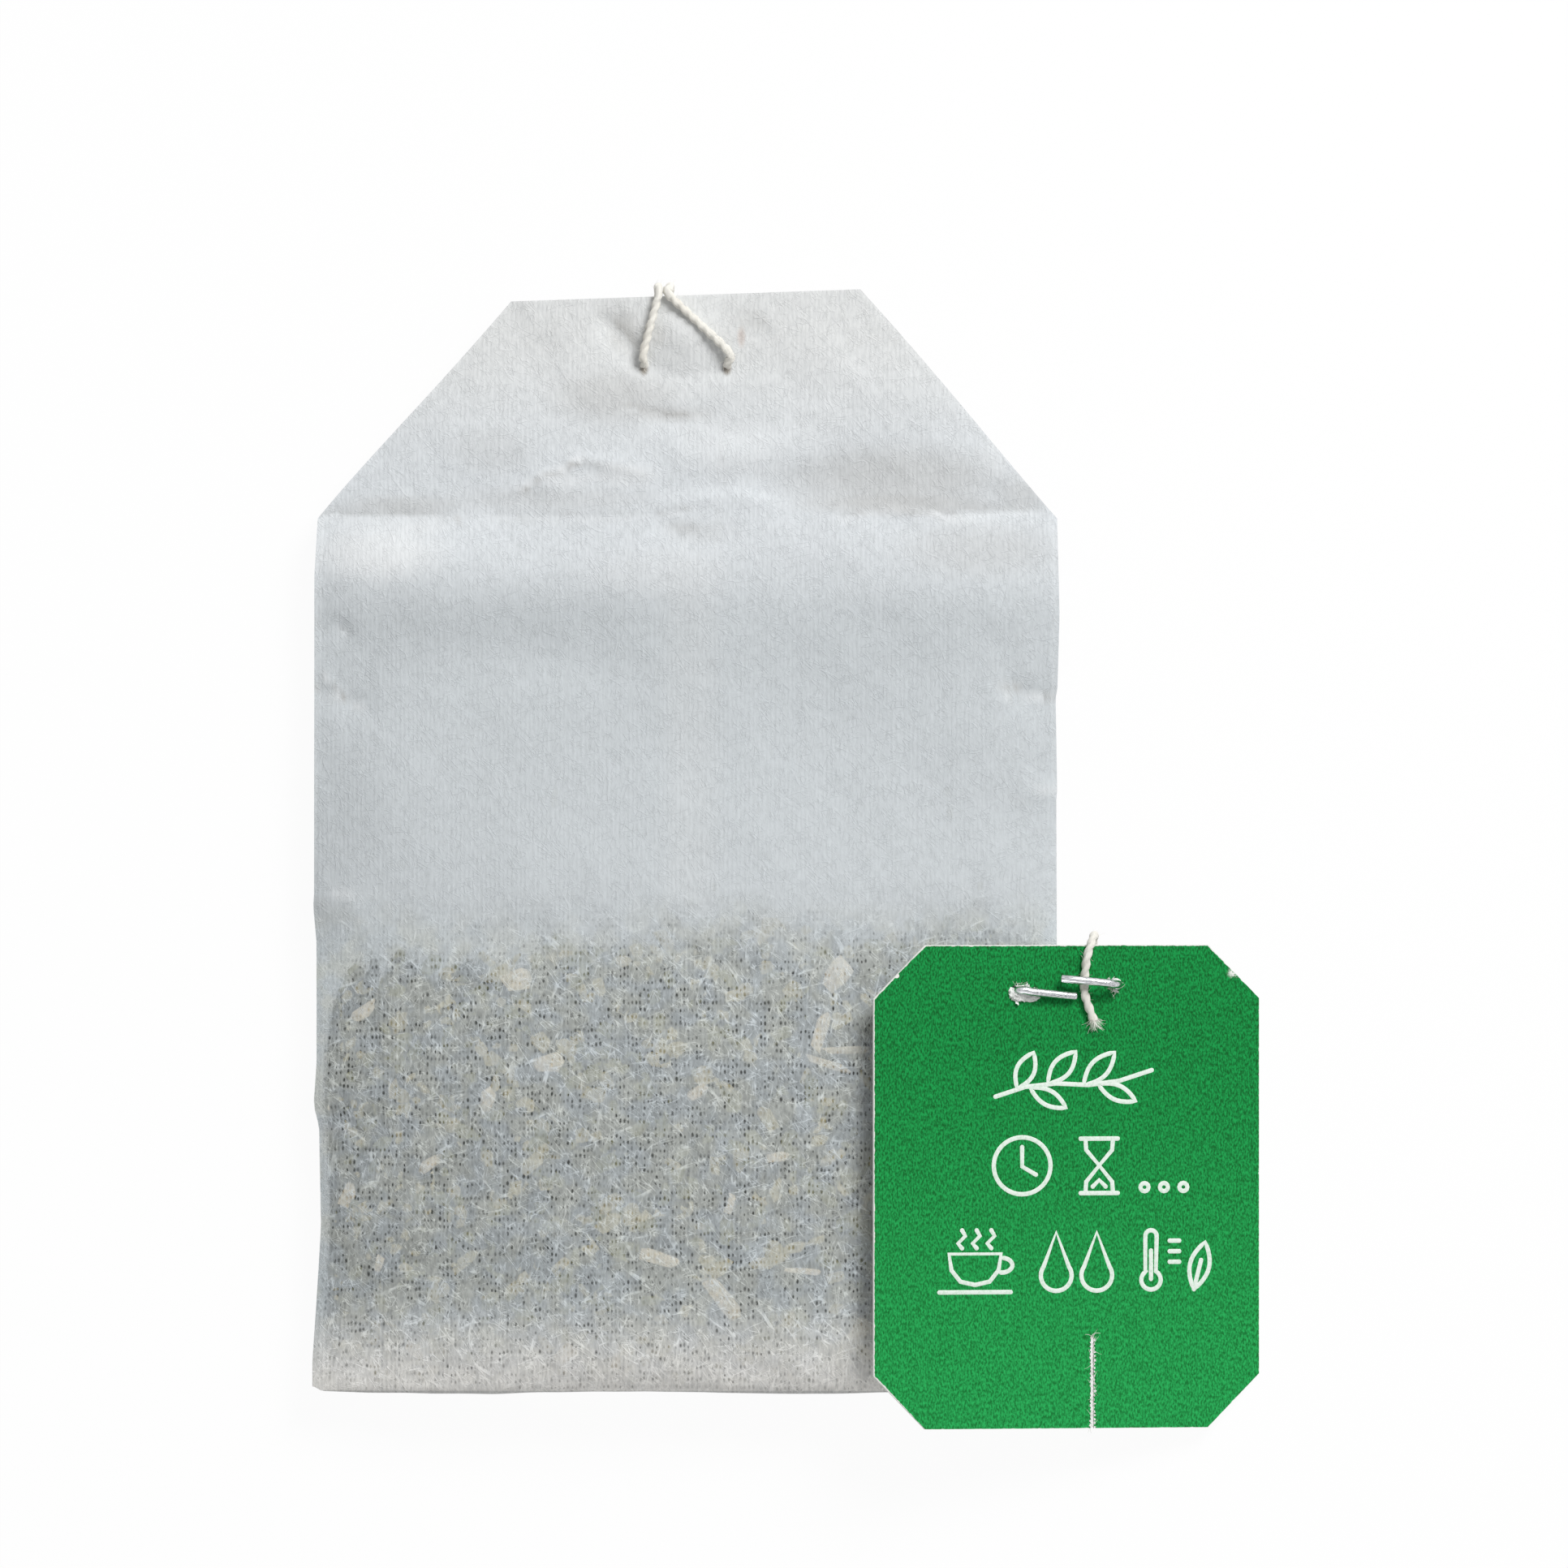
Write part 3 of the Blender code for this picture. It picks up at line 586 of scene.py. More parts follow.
def card_material(groups):
    """Printed card: mottled green ink on the front, a white core at the cut edges."""
    look, tree, shader = new_material("green_card_fine")
    place = tag_place(tree)
    ink, mottle = card_ink(tree, place, groups)
    core = blend(tree, cloud(tree, place, 0.8), *CARD_CORE)
    feed(tree, shader.inputs["Base Color"], blend(tree, card_wear(tree, place), ink, core))
    feed(tree, shader.inputs["Roughness"], ramp(tree, mottle, 0.3, 0.7, 0.58, 0.74))
    shader.inputs["Specular IOR Level"].default_value = 0.12
    feed(tree, shader.inputs["Normal"], bump(tree, mottle, 0.5, 0.00005))
    return look


def torn_material(groups):
    """The white core of the card where it is torn."""
    look, tree, shader = new_material("torn_card")
    place = object_mm(tree)
    fine = placed(tree, groups["grain"], vector=place, length=1.0)["Fine"]
    feed(tree, shader.inputs["Base Color"], blend(tree, ramp(tree, fine, 0.3, 0.7), *TORN_CORE))
    feed(tree, shader.inputs["Roughness"], ramp(tree, fine, 0.2, 0.8, 0.8, 0.95))
    feed(tree, shader.inputs["Normal"], bump(tree, fine, 0.5, 0.00006))
    return look


def ink_material(groups):
    """White ink of the printed marks."""
    look, tree, shader = new_material("white_ink")
    place = object_mm(tree)
    fine = placed(tree, groups["grain"], vector=mapped(tree, place, (1.3, 1.3, 1.3)), length=1.4)["Fine"]
    colour = blend(tree, ramp(tree, fine, 0.30, 0.56, 0.50, 0.0), PRINT_WHITE, PRINT_THIN)
    feed(tree, shader.inputs["Base Color"], colour)
    feed(tree, shader.inputs["Roughness"], ramp(tree, fine, 0.2, 0.8, 0.55, 0.7))
    return look


def wire_material(groups):
    """Drawn aluminium wire with fine lengthwise scratches."""
    look, tree, shader = new_material("drawn_wire")
    place = object_mm(tree)
    scratches = cloud(tree, mapped(tree, place, (1.2, 22.0, 22.0)), 1.0, 3.0, 0.6)
    wide = placed(tree, groups["grain"], vector=place, length=1.0)["Wide"]
    colour = blend(tree, ramp(tree, scratches, 0.38, 0.60), *WIRE_TONES)
    feed(tree, shader.inputs["Base Color"], colour)
    shader.inputs["Metallic"].default_value = 1.0
    rough = maths(tree, "MULTIPLY_ADD", scratches, 0.22, maths(tree, "MULTIPLY", wide, 0.2))
    feed(tree, shader.inputs["Roughness"], rough)
    feed(tree, shader.inputs["Normal"], bump(tree, scratches, 0.3, 0.00003))
    return look


def cotton_material(groups):
    """Undyed cotton, with the fine lines of its fibres along the yarn, and painted shade in the grooves
    between them.
    """
    look, tree, shader = new_material("cotton_fine")
    place = object_mm(tree)
    yarn = node(tree, "ShaderNodeUVMap", uv_map="yarn").outputs[0]
    hairs = cloud(tree, mapped(tree, yarn, (26.0, 900.0, 1.0), 0.02), 1.0, 2.0, 0.6)
    wide = placed(tree, groups["grain"], vector=place, length=1.0)["Wide"]
    colour = blend(tree, ramp(tree, wide, 0.35, 0.65), *COTTON_TONES)
    # Painted shade in the grooves between the fibres
    colour = blend(tree, ramp(tree, hairs, 0.30, 0.55, 0.35, 0.0), colour, COTTON_GROOVE_PAINTED_SHADE)
    feed(tree, shader.inputs["Base Color"], colour)
    shader.inputs["Roughness"].default_value = 0.88
    shader.inputs["Sheen Weight"].default_value = 0.3
    feed(tree, shader.inputs["Normal"], bump(tree, hairs, 0.6, 0.00006))
    return look


def fuzz_material():
    """Single cotton hairs."""
    look, tree, shader = new_material("cotton_hair")
    place = object_mm(tree)
    colour = blend(tree, cloud(tree, place, 0.8), *HAIR_TONES)
    feed(tree, shader.inputs["Base Color"], colour)
    shader.inputs["Roughness"].default_value = 0.9
    return look


# Thread

TAG_RUN = (
    (0.02745, 0.00990, 0.00372),
    (0.02685, 0.01170, 0.00389),
    (0.02685, 0.01285, 0.00389),
    (0.02700, 0.01420, 0.00398),
    (0.02735, 0.01531, 0.00366),
    (0.02750, 0.01563, 0.00290),
    (0.02745, 0.01531, 0.00214),
    (0.02725, 0.01430, 0.00160),
    (0.02670, 0.01300, 0.00100),
    (0.02620, 0.01190, 0.00060),
)
GROUND_RUN = (
    (0.02565, 0.01100, 0.00036),
    (0.02480, 0.01060, 0.00033),
    (0.02390, 0.01100, 0.00033),
    (0.02340, 0.01210, 0.00033),
    (0.02310, 0.01600, 0.00033),
    (0.01900, 0.02450, 0.00033),
    (0.01000, 0.02880, 0.00033),
    (-0.00300, 0.02960, 0.00033),
    (-0.01150, 0.03180, 0.00033),
    (-0.01310, 0.03600, 0.00033),
    (-0.00850, 0.03950, 0.00033),
    (0.00450, 0.04080, 0.00033),
    (0.00850, 0.04420, 0.00033),
    (0.00500, 0.04780, 0.00033),
    (-0.00500, 0.04900, 0.00033),
    (-0.00810, 0.05120, 0.00033),
    (-0.00720, 0.05450, 0.00033),
    (-0.00350, 0.05540, 0.00033),
    (-0.00205, 0.05690, 0.00033),
)
THREAD_END = (
    (-0.00070, 0.05690, 0.00033),
    (0.00090, 0.05570, 0.00033),
    (0.00420, 0.05600, 0.00033),
    (0.00720, 0.05340, 0.00033),
)
LEFT_LEG_X = -0.00185
RIGHT_LEG_X = -0.00105
FOLD_ROUND = ((0.0, 0.0), (0.00050, 0.14), (0.00065, 0.5), (0.00050, 0.86), (-0.00010, 1.0))
YARN_STEP = 0.00016
YARN_TURN = 0.00150
YARN_SIDES = 20
YARN_STRANDS = 2
YARN_CORE = 0.62
YARN_LOBE = 0.48
HAIR_STEPS = 7
HAIRS_AT_A_POINT = 2
HIDDEN_HAIR_SHARE = 0.03
SEEN_ABOVE_Z = 0.0016
FRAYED_HAIRS = 70


def lean(x, y):
    """Puts the top fold at its slight slope."""
    return y + TOP_FOLD_LEAN * x * smooth(SHOULDER_Y, TOP_FOLD_Y, y)


def over_top_fold(x):
    """The thread's points over the top fold, from the front to the ground behind."""
    edge = lean(x, TOP_FOLD_Y)
    return [(x, edge + reach, mix(THREAD_TOP_Z, THREAD_LOW_Z, drop)) for reach, drop in FOLD_ROUND]


def through_hole(side):
    """The thread's points from the front, down through a stitch hole, to behind the head."""
    x = side * STITCH_SPACING / 2
    rise = THREAD_BEND * (1.0 - math.sqrt(0.5))
    return [
        (x, STITCH_Y + THREAD_BEND, THREAD_TOP_Z),
        (x, STITCH_Y + rise, THREAD_TOP_Z - rise),
        (x, STITCH_Y, THREAD_TOP_Z - THREAD_BEND),
        (x, STITCH_Y, THREAD_LOW_Z + THREAD_BEND),
        (x - side * rise, STITCH_Y, THREAD_LOW_Z + rise),
        (x - side * THREAD_BEND, STITCH_Y, THREAD_LOW_Z),
    ]


def thread_route():
    """The whole route, from the cut end on the tag to the end behind the head."""
    up = over_top_fold(LEFT_LEG_X)[::-1]
    down = over_top_fold(RIGHT_LEG_X)
    stitch = through_hole(-1) + through_hole(1)[::-1]
    return [Vector(point) for point in (*TAG_RUN, *GROUND_RUN, *up, *stitch, *down, *THREAD_END)]


def curve_point(route, index, share):
    """A point of the smooth curve through the route, a share of the way past its point index."""
    last = len(route) - 1
    around = [route[min(max(index + step, 0), last)] for step in (-1, 0, 1, 2)]
    before, start, end, after = around
    into = (end - before) / 2.0
    out = (after - start) / 2.0
    square, cube = share * share, share * share * share
    return (
        start * (2 * cube - 3 * square + 1)
        + into * (cube - 2 * square + share)
        + end * (3 * square - 2 * cube)
        + out * (cube - square)
    )


def smooth_line(route, step):
    """Close points of the smooth curve through a route."""
    points = []
    for index in range(len(route) - 1):
        parts = max(round((route[index + 1] - route[index]).length / step), 1)
        points += [curve_point(route, index, part / parts) for part in range(parts)]
    return points + [route[-1]]


def frames(points):
    """At each point two directions across the line, which turn as little as they can."""
    made = []
    side = (points[1] - points[0]).orthogonal().normalized()
    for index, point in enumerate(points):
        ahead = points[min(index + 1, len(points) - 1)] - points[max(index - 1, 0)]
        ahead.normalize()
        side = (side - ahead * side.dot(ahead)).normalized()
        made.append((point, side.copy(), ahead.cross(side)))
    return made


def swept(shape, points, section, layer=None):
    """A closed tube: section gives the corners of its outline at a length along the line."""
    run = [0.0]
    for before, after in zip(points, points[1:]):
        run.append(run[-1] + (after - before).length)
    rings = []
    for length, (point, side, up) in zip(run, frames(points)):
        rings.append([shape.verts.new(point + side * a + up * b) for a, b in section(length)])
    sides = len(rings[0])
    for index, (ring, following) in enumerate(zip(rings, rings[1:])):
        for corner in range(sides):
            beside = (corner + 1) % sides
            face = shape.faces.new((ring[corner], ring[beside], following[beside], following[corner]))
            if layer:
                turns = (corner, corner + 1, corner + 1, corner)
                places = zip((index, index, index + 1, index + 1), turns)
                for loop, (number, turn) in zip(face.loops, places):
                    loop[layer].uv = (run[number], turn / sides)
    shape.faces.new(rings[0][::-1])
    shape.faces.new(rings[-1])
    return run[-1]


def yarn_section(run):
    """Two strands round each other, each of many fibres."""
    turn = 2 * math.pi * run / YARN_TURN
    offsets = []
    for corner in range(YARN_SIDES):
        angle = 2 * math.pi * corner / YARN_SIDES
        lobe = abs(math.cos(YARN_STRANDS * (angle - turn) / 2))
        fibres = 0.045 * math.sin(9 * angle + 2.4 * turn)
        radius = THREAD_DIAMETER / 2 * (YARN_CORE + YARN_LOBE * lobe ** 0.85 + fibres)
        wobble = 1.0 + 0.09 * noise.noise(Vector((run * 900, corner * 0.2, 3.1)))
        offsets.append((radius * wobble * math.cos(angle), radius * wobble * math.sin(angle)))
    return offsets


def thread_piece(look):
    """The twisted cotton thread."""
    points = smooth_line(thread_route(), YARN_STEP)
    shape = bmesh.new()
    layer = shape.loops.layers.uv.new("yarn")
    length = swept(shape, points, yarn_section, layer)
    bmesh.ops.recalc_face_normals(shape, faces=shape.faces)
    piece = mesh_object("thread_yarn", shape, [look], 60)
    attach(piece, "root")
    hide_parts("thread")
    return piece, points, length


def hair(shape, start, direction, length, bend, thickness):
    """A single fibre: a thin three-sided tube along a bent line."""
    points = [start]
    heading = direction.normalized()
    for _ in range(HAIR_STEPS):
        heading = (heading + bend / HAIR_STEPS).normalized()
        points.append(points[-1] + heading * (length / HAIR_STEPS))
    rings = []
    for index, (point, side, up) in enumerate(frames(points)):
        radius = thickness / 2 * (1.0 - 0.6 * index / HAIR_STEPS)
        angles = [2 * math.pi * corner / 3 for corner in range(3)]
        corners = [(math.cos(angle) * radius, math.sin(angle) * radius) for angle in angles]
        rings.append([shape.verts.new(point + side * a + up * b) for a, b in corners])
    for first, second in zip(rings, rings[1:]):
        for corner in range(3):
            beside = (corner + 1) % 3
            shape.faces.new((first[corner], first[beside], second[beside], second[corner]))
    shape.faces.new(rings[0][::-1])
    shape.faces.new(rings[-1])


def random_direction(luck):
    """An even random direction."""
    while True:
        way = Vector((luck.uniform(-1, 1), luck.uniform(-1, 1), luck.uniform(-1, 1)))
        if 0.1 < way.length < 1.0:
            return way.normalized()


def thread_hairs(points, look):
    """Loose hairs along the thread and a frayed tuft at its cut end."""
    luck = random.Random(11)
    shape = bmesh.new()
    for index in [number for number in range(4, len(points) - 20) for _ in range(HAIRS_AT_A_POINT)]:
        seen = points[index].z > SEEN_ABOVE_Z
        if not seen and luck.random() > HIDDEN_HAIR_SHARE:
            continue
        way = random_direction(luck)
        way.z = abs(way.z) if not seen else way.z * 0.6
        ahead = (points[index + 1] - points[index]).normalized()
        heading = (way + ahead * luck.uniform(-1.6, 1.6)).normalized()
        start = points[index] + way * THREAD_DIAMETER * 0.36
        hair(shape, start, heading, luck.uniform(0.2, 0.6) * MM, random_direction(luck) * 1.6, 0.020 * MM)
    ahead = (points[0] - points[1]).normalized()
    for _ in range(FRAYED_HAIRS):
        way = random_direction(luck)
        start = points[0] + way * THREAD_DIAMETER * 0.34 + ahead * -0.1 * MM
        heading = (ahead * luck.uniform(0.8, 2.2) + way * 0.9).normalized()
        heading.z = max(heading.z, 0.02)
        hair(shape, start, heading, luck.uniform(0.3, 1.0) * MM, random_direction(luck) * 0.9, 0.03 * MM)
    bmesh.ops.recalc_face_normals(shape, faces=shape.faces)
    piece = mesh_object("thread_hairs", shape, [look], 80)
    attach(piece, "root")
    return piece


# The fold map of the paper

def pressed(y):
    """How far the chambers have closed to the flat head."""
    return smooth(TEA_TOP_Y, SHOULDER_Y - BOTTOM_ROUNDING, y)


def join_z(x, y):
    """The surface between the two chambers, which droops at both sides."""
    over_tea = JOIN_Z - EDGE_DROOP * (x / HALF_WIDTH) ** 4
    return mix(over_tea, HEAD_TOP_Z - 1.5 * PITCH, pressed(y))


def swell(x, y):
    """The share of its full height that a chamber has here."""
    across = max(1.0 - (x / HALF_WIDTH) ** 2, 0.0) ** 0.75
    start = min(max((y - BOTTOM_Y) / BOTTOM_ROUNDING, 0.0), 1.0)
    rounded = math.sqrt(1.0 - (1.0 - start) ** 2)
    return across * rounded * (1.0 - smooth(SWELL_FULL_Y, SWELL_END_Y, y))


def edge_rise(y):
    """The height of a chamber's side edge over the surface between the chambers."""
    return mix(EDGE_RISE, PITCH, pressed(y))


def gusset_z(y):
    """The height of the gusset's inner ply over the surface between the chambers."""
    along = min(max((y - BOTTOM_Y) / GUSSET_RISE, 0.0), 1.0)
    return mix(EDGE_RISE - 1.5 * PITCH, 1.5 * PITCH, along)


def inner_rise(x, y):
    """The height of a chamber's inner ply over the surface between the chambers."""
    gusset_top = BOTTOM_Y + GUSSET_RISE
    flat = PITCH / 2 + 2.0 * PITCH * (1.0 - smooth(gusset_top, gusset_top + GUSSET_EASE, y))
    floor = gusset_z(y) + PITCH if y < gusset_top else flat
    return max(edge_rise(y) - PITCH / 2 - INNER_SWELL * swell(x, y), floor)


def ply_z(ply, x, y):
    """The middle of a ply: 0 front outer, 1 front inner, 2 rear inner, 3 rear outer."""
    outer = edge_rise(y) + PITCH / 2
    if ply == 0:
        return join_z(x, y) + outer + FRONT_SWELL * swell(x, y)
    if ply == 1:
        return join_z(x, y) + inner_rise(x, y)
    if ply == 2:
        return join_z(x, y) - inner_rise(x, y)
    return max(join_z(x, y) - outer - REAR_SWELL * swell(x, y), PLY / 2)


def level_z(level):
    """The middle of a layer of the folded head, counted down from the front."""
    return HEAD_TOP_Z - level * PITCH


def fold_x(ply, s):
    """Half the width that stays in front at s, up to the slanted corner fold."""
    start_x = HALF_WIDTH - ply * CORNER_STEP_X
    start_s = SHOULDER_Y + ply * CORNER_STEP_Y
    return start_x - (CORNER_SLOPE + ply * CORNER_SPREAD) * (s - start_s)


def behind_corner(ply, s, run):
    """Where a point lies that is run past the corner fold, once it is folded behind."""
    along = CORNER_RUN.normalized()
    folded = 2.0 * along.x * along - Vector((1.0, 0.0))
    return fold_x(ply, s) + folded.x * run, s + folded.y * run


def spread(half, count):
    """Places from -half to half, a little closer together at the ends."""
    even = [2 * i / (count - 1) - 1 for i in range(count)]
    return [half * mix(share, math.sin(math.pi / 2 * share), CLOSER_AT_ENDS) for share in even]


def both_sides(corner, middle):
    """One ply's row from left to right. Each point is x, y, z and its place across the flat sheet."""
    left = [(-x, y, z, -across) for x, y, z, across in corner]
    right = list(reversed(corner))
    return [(x, lean(x, y), z, across) for x, y, z, across in left + middle + right]


def plain_row(y, half, height):
    """A ply's row that has no folded corner."""
    middle = [(x, y, height(x), x) for x in spread(half, PLY_COLUMNS)]
    return both_sides([middle[-1]] * CORNER_COLUMNS, middle)


def chamber_row(ply, y):
    """A ply's row below the shoulder."""
    half = HALF_WIDTH - ply * CORNER_STEP_X * pressed(y)
    return plain_row(y, half, lambda x: ply_z(ply, x, y))


def shoulder_row(ply):
    """A ply's row through the points where its corner folds start."""
    y = SHOULDER_Y + ply * CORNER_STEP_Y
    return plain_row(y, fold_x(ply, y), lambda _: level_z(ply))


def head_row(ply, s):
    """A ply's row between the shoulder and the top fold."""
    half = fold_x(ply, s)
    ear = FOLDED_LEVELS // 2 - 1 - ply
    lower = min(s, TOP_FOLD_Y - ear * PITCH)
    fold = (fold_x(ply, lower), lower, level_z(ear), half)
    full = HALF_WIDTH - ply * CORNER_STEP_X
    end = (*behind_corner(ply, s, full - half), level_z(ear), full)
    middle = [(x, s, level_z(ply), x) for x in spread(half, PLY_COLUMNS)]
    return both_sides([end, fold, fold, fold], middle)


def flap_row(ply, s):
    """A ply's row in the flap, which is folded behind over the top fold."""
    ear = FOLDED_LEVELS // 2 - 1 - ply
    flap_ear = level_z(FOLDED_LEVELS // 2 + ply)
    turn = TOP_FOLD_Y - ply * PITCH
    corner_turn = TOP_FOLD_Y - ear * PITCH
    half = fold_x(ply, s)
    full = HALF_WIDTH - ply * CORNER_STEP_X
    end = (*behind_corner(ply, s, full - half), level_z(ear), full)
    reach = behind_corner(ply, s, 1.0)
    run = (s - corner_turn) / (s - reach[1])
    crossing = behind_corner(ply, s, run)
    if s <= turn:
        run = 0.0
        crossing = (fold_x(ply, corner_turn), corner_turn)
        start = crossing
    else:
        start = (half, 2.0 * corner_turn - s)
    corner = [
        end,
        (*crossing, level_z(ear), half + run),
        (*crossing, flap_ear, half + run),
        (*start, flap_ear, half),
    ]
    level = level_z(FOLDED_LEVELS - 1 - ply)
    middle = [(x, 2.0 * turn - s, level, x) for x in spread(half, PLY_COLUMNS)]
    return both_sides(corner, middle)


def gusset_row(ply, share):
    """A ply's row a share of the way up its gusset leg."""
    outer = ply in (0, 3)
    side = 1.0 if ply < 2 else -1.0
    low_y, low_rise = (BOTTOM_Y + (0.0 if outer else PITCH), EDGE_RISE - (2.5 if outer else 1.5) * PITCH)
    top_y = BOTTOM_Y + GUSSET_RISE - (PITCH if outer else 0.0)
    top_rise = (0.5 if outer else 1.5) * PITCH
    y = mix(low_y, top_y, share)
    rise = mix(low_rise, top_rise, share)
    return plain_row(y, HALF_WIDTH, lambda x: join_z(x, y) + side * rise)


def half_rows(outer, inner):
    """The rows of half the tube, from its mouth to the gusset's top, each with its place along."""
    plies = (outer, inner)
    rows = []
    for row in range(FLAP_ROWS):
        s = mix(MOUTH_S, TOP_FOLD_Y, row / FLAP_ROWS)
        rows.append((s, [flap_row(ply, s) for ply in plies]))
    rows.append((TOP_FOLD_Y, [flap_row(ply, TOP_FOLD_Y - ply * PITCH) for ply in plies]))
    rows.append((TOP_FOLD_Y - PITCH, [head_row(ply, TOP_FOLD_Y - ply * PITCH) for ply in plies]))
    for row in range(HEAD_ROWS, 0, -1):
        s = mix(SHOULDER_Y, TOP_FOLD_Y, row / (HEAD_ROWS + 1))
        rows.append((s, [head_row(ply, s) for ply in plies]))
    start = SHOULDER_Y + FOLD_START
    rows.append((start, [head_row(ply, start + ply * CORNER_STEP_Y) for ply in plies]))
    rows.append((SHOULDER_Y, [shoulder_row(ply) for ply in plies]))
    heights = [mix(SHOULDER_Y, BOTTOM_Y, row / (CHAMBER_ROWS + 1)) for row in range(1, CHAMBER_ROWS + 1)]
    for y in heights + [BOTTOM_Y + share * BOTTOM_ROUNDING for share in EDGE_ROW_SHARES]:
        rows.append((y, [chamber_row(ply, y) for ply in plies]))
    rows.append((BOTTOM_Y, [chamber_row(outer, BOTTOM_Y), chamber_row(inner, BOTTOM_Y + PITCH)]))
    for share in GUSSET_ROW_SHARES:
        along = BOTTOM_Y - GUSSET_RISE * share - PITCH
        rows.append((along, [gusset_row(ply, share) for ply in plies]))
    return rows


# Creases and soft waves of the paper, with the shade and highlights painted on it, in millimetres

CREASES = (
    # line, height, width above it, width below it
    (((-24.6, 43.9), (-16.0, 43.75), (-9.5, 43.7)), -0.18, 1.9, 1.5),
    (((-19.0, 43.55), (-14.5, 43.45), (-10.6, 43.75)), 0.07, 0.25, 0.5),
    (((24.9, 44.4), (19.0, 43.9), (12.0, 43.3)), -0.18, 1.7, 1.3),
    (((20.5, 43.2), (16.0, 43.7), (11.5, 44.3)), 0.08, 0.4, 0.35),
    (((-10.4, 45.2), (-8.6, 46.3), (-6.9, 47.7), (-4.2, 47.1), (-1.6, 46.6)), 0.17, 1.2, 0.55),
    (((-2.6, 44.2), (0.4, 45.1), (3.8, 45.2), (7.5, 44.2)), 0.15, 0.35, 0.9),
    (((-2.8, 43.6), (-0.3, 42.2), (2.6, 42.2)), -0.12, 0.7, 0.3),
    (((-2.8, 53.9), (-4.4, 55.9), (-6.4, 57.9)), -0.30, 0.9, 1.2),
    (((2.8, 53.9), (4.1, 56.0), (5.6, 57.2)), -0.17, 0.6, 1.3),
    (((-2.8, 53.9), (0.0, 53.2), (2.8, 53.9)), -0.16, 0.9, 0.7),
    (((-3.4, 50.7), (-0.6, 50.3), (2.4, 50.8)), -0.10, 0.5, 0.9),
    (((-25.2, 36.6), (-23.4, 36.0), (-22.2, 36.3)), -0.20, 0.5, 0.3),
    (((-25.2, 32.0), (-23.0, 31.2), (-20.0, 30.1)), -0.24, 0.9, 0.35),
    (((-24.2, 32.8), (-23.6, 31.6), (-22.3, 31.9)), 0.16, 0.3, 0.3),
    (((-25.1, 17.9), (-23.4, 17.6), (-20.8, 18.4)), 0.20, 0.4, 0.5),
    (((25.1, 31.6), (22.6, 31.9), (20.9, 33.0)), -0.26, 0.5, 0.8),
    (((22.3, 32.8), (21.2, 31.9), (20.6, 30.6)), 0.12, 0.4, 0.4),
    (((25.1, 25.6), (23.4, 25.3), (21.9, 24.8)), 0.20, 0.35, 0.5),
    (((-24.8, 2.6), (-23.2, 3.0), (-21.5, 2.2)), -0.12, 0.6, 0.5),
)
BULGES = (
    # centre x, centre y, half width, half height, rise
    (-17.5, 39.6, 7.5, 4.2, 0.42),
    (18.0, 38.8, 7.0, 4.6, 0.20),
    (-2.0, 40.6, 6.0, 2.6, 0.16),
    (-9.0, 34.5, 6.0, 2.6, -0.22),
    (9.0, 45.8, 7.5, 2.2, -0.20),
    (-14.0, 49.0, 5.5, 3.6, 0.12),
    (11.5, 52.0, 5.0, 4.0, 0.12),
    (-0.5, 56.2, 2.2, 1.6, 0.22),
    (3.0, 47.8, 4.0, 1.6, 0.14),
    (19.5, 29.0, 4.5, 4.0, 0.22),
    (-20.0, 26.0, 4.0, 4.5, 0.18),
    (7.0, 30.0, 6.0, 5.0, -0.12),
)
# How far each ply follows the front's creases over the tea
PLY_FOLLOWS = (1.0, 0.25, -0.15, -0.15)
CREASE_DEPTH = 1.5
BULGE_DEPTH = 1.8
HEAD_PAINTED_SHADE_AND_LIGHT = (
    # painted shade and painted highlights: centre and radii in millimetres, then how dark, or how bright
    # where it is negative
    ((-4.6, 51.9), (6.0, 2.4), 0.26),
    ((-0.8, 50.65), (3.4, 0.55), 0.34),
    ((-4.1, 56.2), (1.5, 2.0), 0.28),
    ((-1.9, 56.2), (0.6, 1.4), 0.28),
    ((4.2, 57.1), (1.7, 1.0), 0.12),
    ((-9.0, 45.0), (9.0, 1.2), 0.18),
    ((14.0, 46.4), (10.5, 3.0), 0.34),
    ((14.5, 44.6), (10.0, 0.9), 0.24),
    ((-19.0, 44.6), (5.5, 0.9), 0.26),
    ((22.9, 45.4), (2.4, 1.4), 0.22),
    ((1.0, 42.8), (3.2, 0.9), 0.14),
    ((-13.0, 48.2), (4.0, 2.2), 0.12),
    ((3.2, 48.5), (5.2, 3.2), -0.35),
    ((-4.4, 46.6), (3.4, 1.1), -0.55),
    ((-8.2, 46.3), (2.4, 0.8), -0.50),
    ((8.6, 50.2), (3.4, 2.6), -0.25),
    ((-20.6, 41.4), (6.0, 2.6), -0.85),
    ((-17.6, 43.2), (2.4, 0.5), -0.45),
    ((19.8, 41.6), (7.5, 2.6), 0.22),
    ((20.8, 48.2), (1.6, 2.0), -0.35),
    ((-2.0, 40.0), (7.0, 2.2), -0.30),
)
